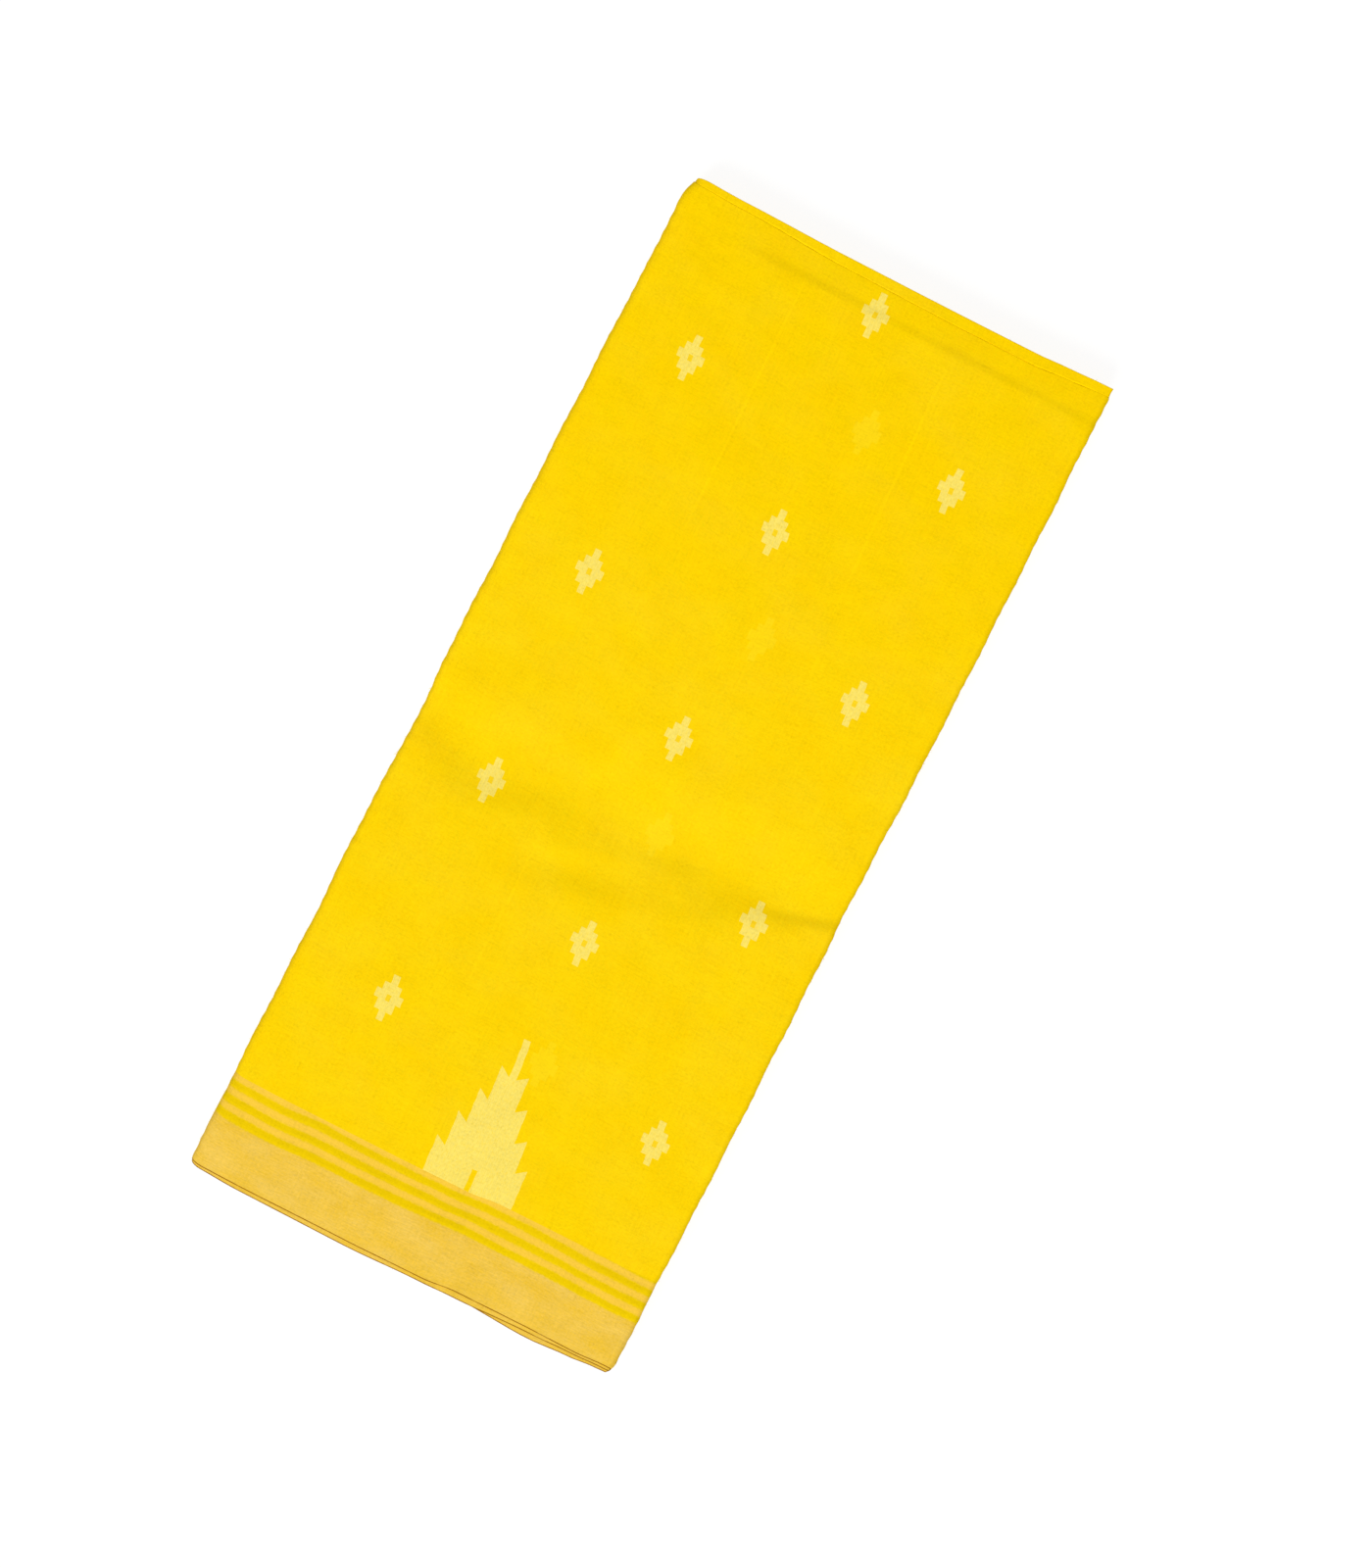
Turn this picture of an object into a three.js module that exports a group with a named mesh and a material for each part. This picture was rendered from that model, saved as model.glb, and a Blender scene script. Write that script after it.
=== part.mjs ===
// A cotton saree, folded to double leaves and pressed, lying flat on its underside.
// Millimetres. +X runs along the short ends, +Y along the long sides towards the folds at the middle of the
// cloth's width, and +Z up. The selvedges lie at the -Y end, and the underside rests at z = 0.
import * as THREE from 'three';

// The bundle
const LENGTH = 593;
const WIDTH = 251;
const HEIGHT = 20;
const SIDE_FALL = 1.0;        // how much lower the top lies along the long sides than in the middle
const END_FALL = 1.4;         // how much lower it lies at the two ends
const SPINE_REACH = 9.5;      // how far the turn round the left side stands out from the flat stretches
const SPINE_CORNER = 3.5;     // how far the turn draws in at its +Y corner
const SPINE_CORNER_RUN = 11;  // the length over which it does so

// The cloth
const PLY = 1;                // one ply's wall
const LEAF = 2;               // two plies pressed together
const GAP = 0.3;              // between neighbouring pieces
const BORDER = 52.5;          // gold band and three stripes, from the selvedge
const HIDDEN_LEAVES = 21;     // double leaves inside the bundle that don't show on top
const FOLD_RADIUS = 3;        // the outer leaf's turn down the right side
const EDGE_SOFTENING = 0.5;   // how far a pressed edge is rounded off

const HALF_LENGTH = LENGTH / 2;
const HALF_WIDTH = WIDTH / 2;
const SPINE_SEAM = -HALF_WIDTH + SPINE_REACH;

// Where the edges of the leaves that show lie, at places across the bundle. Each leaf slipped a little.
const LEAF_EDGES = [
  { x: -122, topSelvedge: -293.2, secondSelvedge: -294.6, thirdSelvedge: -292.0, topFold: 292.6, secondFold: 295.6 },
  { x: -95, topSelvedge: -293.4, secondSelvedge: -296.2, thirdSelvedge: -292.0, topFold: 290.4, secondFold: 296.3 },
  { x: -30, topSelvedge: -293.0, secondSelvedge: -296.4, thirdSelvedge: -292.4, topFold: 288.6, secondFold: 296.4 },
  { x: 30, topSelvedge: -292.6, secondSelvedge: -294.6, thirdSelvedge: -294.0, topFold: 288.4, secondFold: 296.4 },
  { x: 80, topSelvedge: -292.0, secondSelvedge: -293.4, thirdSelvedge: -295.6, topFold: 289.8, secondFold: 296.2 },
  { x: 122, topSelvedge: -291.4, secondSelvedge: -292.2, thirdSelvedge: -293.0, topFold: 291.8, secondFold: 295.4 },
];

// How far the right side bows in, at places along the bundle.
const RIGHT_EDGE = [
  { y: -296, inset: 0.4 },
  { y: -100, inset: 0.0 },
  { y: 120, inset: 0.9 },
  { y: 296, inset: 0.2 },
];

// The soft trough across the bundle: at places across it, where the cloth starts to dip, where the floor lies,
// where it has risen again, and how deep it is.
const TROUGH_SECTIONS = [
  { x: -122, brow: 0, floor: -22, foot: -35, depth: 0.9 },
  { x: -101, brow: 3, floor: -27, foot: -47, depth: 1.2 },
  { x: -82, brow: 4, floor: -32, foot: -59, depth: 1.4 },
  { x: -60, brow: 5, floor: -33, foot: -52, depth: 1.2 },
  { x: 11, brow: 5, floor: -32, foot: -78, depth: 1.2 },
  { x: 60, brow: 7, floor: -32, foot: -72, depth: 1.4 },
  { x: 95, brow: 7, floor: -31, foot: -56, depth: 1.5 },
  { x: 122, brow: 5, floor: -26, foot: -33, depth: 1.1 },
];

// The slack that runs on from the trough, obliquely towards the spine and the selvedges.
const SLACK = { fromX: 50, fromY: -46, toX: -44, toY: -109, halfWidth: 15, depth: 0.6 };

// Where a shorter leaf inside ends, so that the top steps down towards the +Y end.
const LAYER_STEP = { startX: -85, fullX: -60, highY: 275, lowY: 283, drop: 0.7 };

// Where the rows of points lie along the bundle, between the ends of each stretch, closest at the trough.
const FIELD_ROWS = [
  { to: -110, steps: 4 },
  { to: -80, steps: 2 },
  { to: 10, steps: 12 },
  { to: 270, steps: 5 },
  { to: 285, steps: 3 },
];
const FIELD_START = -225;
const BORDER_ROWS = [-285, -265, -247];
const ACROSS_STEPS = 16;
const TURN_STEPS = 4;
const SPINE_STEPS = 12;

// The hidden leaves: how far each may have slipped, the grooves between their edges, where a leaf's edge is
// fullest, as shares of its thickness, and where the columns (as shares of the way across) and rows of points lie.
const SIDE_SLIP = 1.4;
const END_SLIP = 2.2;
const SLIP_TURN = 2.4;
const GROOVE = 0.8;
const EDGE_LOW = 0.25;
const EDGE_HIGH = 0.75;
const HIDDEN_DEPTH = PLY + GAP + LEAF + 2 * GAP;
const HIDDEN_MARGIN = 12;     // how much wider the trough is below the leaves that show
const TURN_SLACK = 0.5;       // spare room between the hidden leaves and the turn round them
const REBATE_END = -234;
const REBATE_RAMP = 4;
const HIDDEN_COLUMNS = [0, 0.02, 0.2, 0.4, 0.6, 0.8, 0.98, 1];
const HIDDEN_ROWS = [-296, -292, -237, -231, -180, -110, -80, -57, -42, -27, -12, 10, 140, 270, 285, 293, 296];
const UNDER_SELVEDGE = -293.4;
const UNDER_FOLD = 291;

const smooth = (t) => {
  const c = THREE.MathUtils.clamp(t, 0, 1);
  return c * c * (3 - 2 * c);
};
const lerp = THREE.MathUtils.lerp;

// A column of a table at a place between its rows, eased from row to row.
function column(table, at, key, place) {
  const last = table.length - 1;
  if (place <= table[0][at]) return table[0][key];
  if (place >= table[last][at]) return table[last][key];
  const next = table.findIndex((row) => row[at] > place);
  const a = table[next - 1];
  const b = table[next];
  return lerp(a[key], b[key], smooth((place - a[at]) / (b[at] - a[at])));
}

const edge = (key, x) => column(LEAF_EDGES, 'x', key, x);
const rightSide = (y) => HALF_WIDTH - column(RIGHT_EDGE, 'y', 'inset', y);

// How far the turn round the left side draws in at a place along the bundle.
const spineInset = (y) => SPINE_CORNER * smooth((y - (HALF_LENGTH - SPINE_CORNER_RUN)) / SPINE_CORNER_RUN);

function troughDepth(x, y, margin) {
  const brow = column(TROUGH_SECTIONS, 'x', 'brow', x) + margin;
  const floor = column(TROUGH_SECTIONS, 'x', 'floor', x);
  const foot = column(TROUGH_SECTIONS, 'x', 'foot', x) - margin;
  const depth = column(TROUGH_SECTIONS, 'x', 'depth', x);
  const share = y > floor ? (brow - y) / (brow - floor) : (y - foot) / (floor - foot);
  return depth * smooth(share);
}

function slackDepth(x, y) {
  const from = new THREE.Vector3(SLACK.fromX, SLACK.fromY, 0);
  const to = new THREE.Vector3(SLACK.toX, SLACK.toY, 0);
  const place = new THREE.Vector3(x, y, 0);
  const nearest = new THREE.Line3(from, to).closestPointToPoint(place, true, new THREE.Vector3());
  return SLACK.depth * smooth(1 - nearest.distanceTo(place) / SLACK.halfWidth);
}

function stepDrop(x, y) {
  const across = smooth((x - LAYER_STEP.startX) / (LAYER_STEP.fullX - LAYER_STEP.startX));
  const along = smooth((y - LAYER_STEP.highY) / (LAYER_STEP.lowY - LAYER_STEP.highY));
  return LAYER_STEP.drop * across * along;
}

// How high the top of the bundle lies at a place in plan, with the trough as much wider as the margin says.
function topHeight(x, y, margin = 0) {
  const across = Math.min(1, Math.abs(x) / HALF_WIDTH);
  const along = Math.min(1, Math.abs(y) / HALF_LENGTH);
  const crown = HEIGHT - SIDE_FALL * across ** 4 - END_FALL * along ** 6;
  return crown - troughDepth(x, y, margin) - slackDepth(x, y) - stepDrop(x, y);
}

// A closed body between two sheets of points: outer and inner give a Vector3 at each column and row.
function wall(columns, rows, outer, inner) {
  const points = [];
  const grids = [outer, inner].map((sheet) =>
    Array.from({ length: rows + 1 }, (_, j) =>
      Array.from({ length: columns + 1 }, (_, i) => points.push(sheet(i, j)) - 1)));
  const [upper, lower] = grids;
  const faces = [];
  const quad = (a, b, c, d) => faces.push(a, b, c, a, c, d);
  for (let j = 0; j < rows; j += 1) {
    for (let i = 0; i < columns; i += 1) {
      quad(upper[j][i], upper[j][i + 1], upper[j + 1][i + 1], upper[j + 1][i]);
      quad(lower[j][i], lower[j + 1][i], lower[j + 1][i + 1], lower[j][i + 1]);
    }
    quad(upper[j][0], upper[j + 1][0], lower[j + 1][0], lower[j][0]);
    quad(upper[j + 1][columns], upper[j][columns], lower[j][columns], lower[j + 1][columns]);
  }
  for (let i = 0; i < columns; i += 1) {
    quad(upper[0][i + 1], upper[0][i], lower[0][i], lower[0][i + 1]);
    quad(upper[rows][i], upper[rows][i + 1], lower[rows][i + 1], lower[rows][i]);
  }
  return geometryOf(points, faces);
}

function geometryOf(points, faces) {
  const geometry = new THREE.BufferGeometry().setFromPoints(points);
  geometry.setIndex(faces);
  geometry.computeVertexNormals();
  return geometry;
}

// The places of a stretch's rows, from a start and the ends of its parts.
function placesOf(start, parts) {
  const places = [start];
  for (const { to, steps } of parts) {
    const from = places[places.length - 1];
    for (let k = 1; k <= steps; k += 1) places.push(lerp(from, to, k / steps));
  }
  return places;
}

const FIELD_PLACES = placesOf(FIELD_START, FIELD_ROWS);

// The stretches of a leaf along the bundle: the field above its border, and the border. The first and the last
// row lie at the stretch's ends, and the rows between them at the same places in every leaf.
function stretchesOf(selvedge, fold) {
  const borderEnd = (x) => edge(selvedge, x) + BORDER;
  return {
    field: { from: (x) => borderEnd(x) + GAP / 2, places: FIELD_PLACES, to: (x) => edge(fold, x) },
    border: { from: (x) => edge(selvedge, x), places: BORDER_ROWS, to: (x) => borderEnd(x) - GAP / 2 },
  };
}

const rowsOf = (stretch) => stretch.places.length + 1;

function placeAlong(stretch, x, j) {
  if (j === 0) return stretch.from(x);
  return j === rowsOf(stretch) ? stretch.to(x) : stretch.places[j - 1];
}

// How far the outer face of a wall is rounded off at its first and last rows, where that end is an open edge.
const softened = (stretch, j, openFirst, openLast) =>
  ((openFirst && j === 0) || (openLast && j === rowsOf(stretch)) ? EDGE_SOFTENING : 0);

// The outer leaf on top: flat from the spine's seam, then turned down round the right side.
function outerLeaf(stretch, openFirst, openLast) {
  const surface = (inset) => (i, j) => {
    const flat = Math.min(1, i / ACROSS_STEPS);
    const turn = (Math.max(0, i - ACROSS_STEPS) / TURN_STEPS) * (Math.PI / 2);
    const roughY = placeAlong(stretch, 0, j);
    const bend = rightSide(roughY) - FOLD_RADIUS;
    const x = lerp(SPINE_SEAM + GAP / 2, bend, flat);
    const y = placeAlong(stretch, x, j);
    const radius = FOLD_RADIUS - inset;
    const soft = inset === 0 ? softened(stretch, j, openFirst, openLast) : 0;
    const top = topHeight(x, y) - soft;
    return new THREE.Vector3(x + radius * Math.sin(turn), y, top - FOLD_RADIUS + radius * Math.cos(turn));
  };
  return wall(ACROSS_STEPS + TURN_STEPS, rowsOf(stretch), surface(0), surface(PLY));
}

// The outer leaf's turn round the left side, a half ellipse from the top to the underside.
function spineTurn(stretch) {
  const surface = (inset) => (i, j) => {
    const angle = -Math.PI / 2 + (i / SPINE_STEPS) * Math.PI;
    const y = placeAlong(stretch, SPINE_SEAM, j);
    const middle = topHeight(SPINE_SEAM, y) / 2;
    const reach = SPINE_REACH - spineInset(y) - inset;
    const x = SPINE_SEAM - GAP / 2 - reach * Math.cos(angle);
    return new THREE.Vector3(x, y, middle + (middle - inset) * Math.sin(angle));
  };
  return wall(SPINE_STEPS, rowsOf(stretch), surface(0), surface(PLY));
}

// A flat slab under the bundle.
function underLeaf(from, to) {
  const surface = (z) => (i, j) =>
    new THREE.Vector3(lerp(SPINE_SEAM + GAP / 2, HALF_WIDTH - FOLD_RADIUS, i), lerp(from, to, j), z);
  return wall(1, 1, surface(PLY), surface(0));
}

// A leaf of two plies below the top, between two places across the bundle.
function lowerLeaf(stretch, left, right, columns, depth, thickness, openFirst, openLast) {
  const surface = (below) => (i, j) => {
    const x = lerp(left, right, i / columns);
    const y = placeAlong(stretch, x, j);
    const soft = below === depth ? softened(stretch, j, openFirst, openLast) : 0;
    return new THREE.Vector3(x, y, topHeight(x, y) - below - soft);
  };
  return wall(columns, rowsOf(stretch), surface(depth), surface(depth + thickness));
}

// A hidden leaf's slip at one side of the bundle, between none and all of the stated reach.
const slip = (leaf, phase, reach) => (reach / 2) * (1 + Math.sin(leaf * SLIP_TURN + phase));

// The level of the hidden layers' top. It is lower under the third leaf's border.
function hiddenTop(x, y) {
  const rise = smooth((y - REBATE_END) / REBATE_RAMP);
  return topHeight(x, y, HIDDEN_MARGIN) - HIDDEN_DEPTH - lerp(PLY + GAP, 0, rise);
}

// A point of the hidden layers, at a share of the way across, a place along, and a level: a share of the way up
// with the leaf that lies there and how far its edge draws in.
function hiddenPoint(across, place, { up, leaf, inset }) {
  const bottom = PLY + GAP;
  const middle = topHeight(SPINE_SEAM, place) / 2;
  const roughTop = hiddenTop(lerp(SPINE_SEAM, HALF_WIDTH, across), place);
  const height = (lerp(bottom, roughTop, up) - middle) / (middle - bottom);
  const fullReach = Math.max(0, SPINE_REACH - spineInset(place) - bottom - TURN_SLACK);
  const left = SPINE_SEAM - GAP / 2 - fullReach * Math.sqrt(Math.max(0, 1 - height * height));
  const right = rightSide(place) - slip(leaf, 0, SIDE_SLIP) - inset;
  const x = lerp(left, right, across);
  const low = edge('topSelvedge', x) + slip(leaf, 1, END_SLIP) + inset;
  const high = edge('secondFold', x) - slip(leaf, 2, END_SLIP) - inset;
  const y = THREE.MathUtils.mapLinear(place, HIDDEN_ROWS[0], HIDDEN_ROWS[HIDDEN_ROWS.length - 1], low, high);
  return new THREE.Vector3(x, y, lerp(bottom, hiddenTop(x, y), up));
}

// All the hidden leaves as one solid. Its sides are the leaves' rounded edges, one above another.
function hiddenLayers() {
  const lastColumn = HIDDEN_COLUMNS.length - 1;
  const lastRow = HIDDEN_ROWS.length - 1;
  const rim = [];
  for (let i = 0; i < lastColumn; i += 1) rim.push([i, 0]);
  for (let j = 0; j < lastRow; j += 1) rim.push([lastColumn, j]);
  for (let i = lastColumn; i > 0; i -= 1) rim.push([i, lastRow]);
  for (let j = lastRow; j > 0; j -= 1) rim.push([0, j]);

  const levels = [{ up: 0, leaf: 0, inset: GROOVE }];
  for (let leaf = 0; leaf < HIDDEN_LEAVES; leaf += 1) {
    levels.push({ up: (leaf + EDGE_LOW) / HIDDEN_LEAVES, leaf, inset: 0 });
    levels.push({ up: (leaf + EDGE_HIGH) / HIDDEN_LEAVES, leaf, inset: 0 });
    levels.push({ up: (leaf + 1) / HIDDEN_LEAVES, leaf, inset: GROOVE });
  }

  const points = [];
  const faces = [];
  const add = (i, j, level) => points.push(hiddenPoint(HIDDEN_COLUMNS[i], HIDDEN_ROWS[j], level)) - 1;
  const rings = levels.map((level) => rim.map(([i, j]) => add(i, j, level)));
  rings.slice(1).forEach((ring, k) => ring.forEach((_, a) => {
    const b = (a + 1) % ring.length;
    faces.push(rings[k][a], rings[k][b], ring[b], rings[k][a], ring[b], ring[a]);
  }));

  // The top and the bottom are grids whose outermost points are the last and the first ring.
  for (const [level, ring, upward] of [[levels[levels.length - 1], rings[rings.length - 1], true],
    [levels[0], rings[0], false]]) {
    const numbers = new Map(rim.map(([i, j], a) => [`${i},${j}`, ring[a]]));
    const at = (i, j) => {
      const key = `${i},${j}`;
      if (!numbers.has(key)) numbers.set(key, add(i, j, level));
      return numbers.get(key);
    };
    for (let i = 0; i < lastColumn; i += 1) {
      for (let j = 0; j < lastRow; j += 1) {
        const corners = [at(i, j), at(i + 1, j), at(i + 1, j + 1), at(i, j + 1)];
        const [a, b, c, d] = upward ? corners : corners.reverse();
        faces.push(a, b, c, a, c, d);
      }
    }
  }
  return geometryOf(points, faces);
}

const fieldCloth = new THREE.MeshStandardMaterial({ color: 0xf7cb0c, roughness: 0.85, metalness: 0 });
const borderCloth = new THREE.MeshStandardMaterial({ color: 0xe9bd4a, roughness: 0.7, metalness: 0.1 });

const top = stretchesOf('topSelvedge', 'topFold');
const second = stretchesOf('secondSelvedge', 'secondFold');
const third = stretchesOf('thirdSelvedge', 'secondFold');
const lowerLeft = SPINE_SEAM + GAP / 2;
const lowerRight = HALF_WIDTH - FOLD_RADIUS - 1;
const underBorderEnd = UNDER_SELVEDGE + BORDER;

const pieces = [
  ['top_field', outerLeaf(top.field, false, true), fieldCloth],
  ['top_border', outerLeaf(top.border, true, false), borderCloth],
  ['spine_field', spineTurn(top.field), fieldCloth],
  ['spine_border', spineTurn(top.border), borderCloth],
  ['under_field', underLeaf(underBorderEnd + GAP / 2, UNDER_FOLD), fieldCloth],
  ['under_border', underLeaf(UNDER_SELVEDGE, underBorderEnd - GAP / 2), borderCloth],
  ['second_leaf_field', lowerLeaf(second.field, lowerLeft, lowerRight, ACROSS_STEPS,
    PLY + GAP, LEAF, false, true), fieldCloth],
  ['second_leaf_border', lowerLeaf(second.border, lowerLeft, lowerRight, ACROSS_STEPS,
    PLY + GAP, LEAF, true, false), borderCloth],
  ['third_leaf_border', lowerLeaf(third.border, lowerLeft, lowerRight, ACROSS_STEPS,
    HIDDEN_DEPTH - GAP, PLY, true, false), borderCloth],
  ['folded_layers', hiddenLayers(), fieldCloth],
];

const group = new THREE.Group();
for (const [name, geometry, material] of pieces) {
  const mesh = new THREE.Mesh(geometry, material);
  mesh.name = name;
  group.add(mesh);
}

export default group;
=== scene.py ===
"""A cotton saree, folded to twenty-four double leaves and pressed, lying flat and seen from straight above.

The cloth is one woven length. It is folded across its width first, so that both gold selvedges lie at
the -Y end and every leaf has two plies, and then to and fro along its length, with one last fold round
the -X side. Sizes are in metres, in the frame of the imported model.
"""

import logging
import math
from dataclasses import dataclass
from enum import Enum
from functools import reduce
from typing import Iterable, Sequence

import bmesh
import bpy
import numpy as np
from mathutils import Matrix, Vector


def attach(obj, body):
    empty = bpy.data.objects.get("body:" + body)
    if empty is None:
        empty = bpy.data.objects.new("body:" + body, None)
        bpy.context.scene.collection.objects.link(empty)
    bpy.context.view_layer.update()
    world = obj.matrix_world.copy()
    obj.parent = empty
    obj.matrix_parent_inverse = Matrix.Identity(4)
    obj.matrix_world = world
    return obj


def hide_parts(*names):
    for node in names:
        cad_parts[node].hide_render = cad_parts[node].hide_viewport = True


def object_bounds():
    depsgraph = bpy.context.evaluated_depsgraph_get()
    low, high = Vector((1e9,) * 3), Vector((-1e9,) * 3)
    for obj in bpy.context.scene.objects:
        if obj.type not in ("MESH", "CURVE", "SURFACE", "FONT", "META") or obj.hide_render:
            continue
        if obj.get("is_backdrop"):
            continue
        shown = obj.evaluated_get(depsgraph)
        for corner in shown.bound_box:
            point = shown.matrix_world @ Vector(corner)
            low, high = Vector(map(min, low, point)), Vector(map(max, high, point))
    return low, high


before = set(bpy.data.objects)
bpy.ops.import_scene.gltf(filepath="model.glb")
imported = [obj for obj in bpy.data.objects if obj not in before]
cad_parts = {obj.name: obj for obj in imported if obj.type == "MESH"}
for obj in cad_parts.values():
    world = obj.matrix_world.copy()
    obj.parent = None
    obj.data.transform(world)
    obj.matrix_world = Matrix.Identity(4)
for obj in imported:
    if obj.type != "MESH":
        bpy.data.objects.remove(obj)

MM = 0.001
MM_IN_METRE = 1000.0
LOG = logging.getLogger("saree")


def smooth(share: np.ndarray) -> np.ndarray:
    """Eases a share from 0 to 1, flat at both ends."""
    held = np.clip(share, 0.0, 1.0)
    return held * held * (3.0 - 2.0 * held)


def mix(a: np.ndarray, b: np.ndarray, share: np.ndarray) -> np.ndarray:
    """Goes from a to b as the share goes from 0 to 1."""
    return a + (b - a) * share


def in_mm(kind: type, *rows: tuple[float, ...]) -> list:
    """Makes a table's rows of one kind from their sizes in millimetres."""
    return [kind(*(size * MM for size in row)) for row in rows]


def eased(rows: Sequence, at: str, key: str, place: np.ndarray) -> np.ndarray:
    """Reads a column of a table at places between its rows.

    Args:
        rows: The table, a row for each place, in rising order.
        at: The column that holds the place.
        key: The column to read.
        place: Where to read it.

    Returns:
        The column's value at each place, eased from row to row.
    """
    places = np.array([getattr(row, at) for row in rows])
    place = np.clip(place, places[0], places[-1])
    values = np.array([getattr(row, key) for row in rows])
    start = np.clip(np.searchsorted(places, place, side="right") - 1, 0, len(rows) - 2)
    share = (place - places[start]) / (places[start + 1] - places[start])
    return mix(values[start], values[start + 1], smooth(share))


def graded(start: float, parts: Sequence[tuple[float, int]]) -> np.ndarray:
    """Lists places from a start through parts that each end at a place after a number of equal steps.

    Args:
        start: The first place.
        parts: Each part's last place and its number of steps.

    Returns:
        The places in order.
    """
    places = [start]
    for end, steps in parts:
        places.extend(np.linspace(places[-1], end, steps + 1)[1:])
    return np.array(places)


def place_in_scene(name: str, work: bmesh.types.BMesh, material: bpy.types.Material) -> bpy.types.Object:
    """Makes an object of one material from the work, which it frees, and puts it in the scene.

    Args:
        name: The object's name, and its mesh's.
        work: The shape.
        material: Its finish.

    Returns:
        The object.
    """
    mesh = bpy.data.meshes.new(name)
    work.to_mesh(mesh)
    work.free()
    mesh.materials.append(material)
    made = bpy.data.objects.new(name, mesh)
    bpy.context.scene.collection.objects.link(made)
    return made


@dataclass(frozen=True)
class LeafEdges:
    """Where the edges of the leaves that show lie, at one place across the bundle.

    The shift is how far the pattern there lies from where the selvedge alone would put it.
    """

    x: float
    top_selvedge: float
    second_selvedge: float
    third_selvedge: float
    top_fold: float
    second_fold: float
    shift: float


@dataclass(frozen=True)
class SideBow:
    """How far the right side bows in and the left side bows out at one place along the bundle."""

    y: float
    inset: float
    outset: float


@dataclass(frozen=True)
class TroughSection:
    """The soft trough at one place across the bundle: its brow, floor and foot along it, and its depth."""

    x: float
    brow: float
    floor: float
    foot: float
    depth: float


@dataclass(frozen=True)
class Crease:
    """One pressed line or soft fold of the top, between two places in plan.

    A positive rise is a ridge and a negative one a trough.
    """

    x0: float
    y0: float
    x1: float
    y1: float
    half_width: float
    rise: float


@dataclass(frozen=True)
class Ripple:
    """A fine wave along an edge."""

    height: float
    length: float
    phase: float = 0.0

    def at(self, place: np.ndarray) -> np.ndarray:
        """How far the wave stands out at places along the edge."""
        return self.height * np.sin(place / self.length + self.phase)


LEAF_EDGES = in_mm(
    LeafEdges,
    (-122, -294.35, -295.8, -292.0, 293.2, 297.2, -1.15),
    (-95, -294.6, -296.8, -292.0, 292.2, 296.3, -1.2),
    (-30, -294.25, -297.0, -292.4, 289.5, 295.4, -1.25),
    (14, -293.6, -295.7, -293.9, 289.0, 295.3, -0.93),
    (34, -291.7, -295.1, -294.6, 288.8, 295.3, 0.89),
    (80, -291.3, -293.6, -296.5, 289.0, 295.5, 0.7),
    (104, -291.5, -292.9, -295.1, 290.9, 296.6, 0.2),
    (122, -290.6, -292.2, -293.6, 292.3, 297.4, 0.8),
)

SIDE_BOW = in_mm(
    SideBow,
    (-287, -1.2, -0.9),
    (-253, -1.0, -0.5),
    (-201, -1.35, -0.1),
    (-149, -1.25, -0.2),
    (-96, -0.8, 0.8),
    (-44, -0.35, 0.1),
    (-18, 0.1, -0.6),
    (8, -0.05, 1.1),
    (60, -0.7, 1.1),
    (112, -0.75, 1.45),
    (217, -0.3, 1.45),
    (254, 0.2, 0.8),
    (275, 0.5, 1.4),
    (287, 0.0, 1.6),
)

TROUGH = in_mm(
    TroughSection,
    (-122, 2, -17, -41, 1.2),
    (-104, 3, -27, -52, 1.4),
    (-91, 3, -33, -60, 1.9),
    (-75, 4, -34, -59, 1.8),
    (-57, 4, -30, -55, 2.1),
    (-39, 8, -29, -48, 1.2),
    (-18, 20, -25, -84, 2.4),
    (3, 12, -30, -72, 2.2),
    (24, 6, -33, -56, 1.8),
    (45, 14, -29, -51, 2.5),
    (66, 12, -28, -51, 2.2),
    (87, 12, -24, -47, 2.3),
    (102, 8, -25, -43, 1.5),
    (115, 4, -21, -33, 1.0),
    (122, 4, -20, -30, 0.9),
)

CREASES = in_mm(
    Crease,
    (78, -40, -50, -73.5, 15, -0.85),
    (-47.6, 285, -43.5, 118, 1.1, 0.14),
    (40.6, 284, 47.5, 120, 1.1, 0.14),
    (-37.5, -46, -36.0, -158, 1.1, 0.10),
    (57.5, -98, 58.5, -136, 1.1, 0.10),
    (-114.5, 272, -105.5, 258, 1.6, -0.25),
    (67, 124, 98, 31, 1.8, -0.10),
    (98, 31, 118, 13, 1.8, -0.10),
    (81, -35.4, 132, -21.4, 6.0, -0.55),
)


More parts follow.
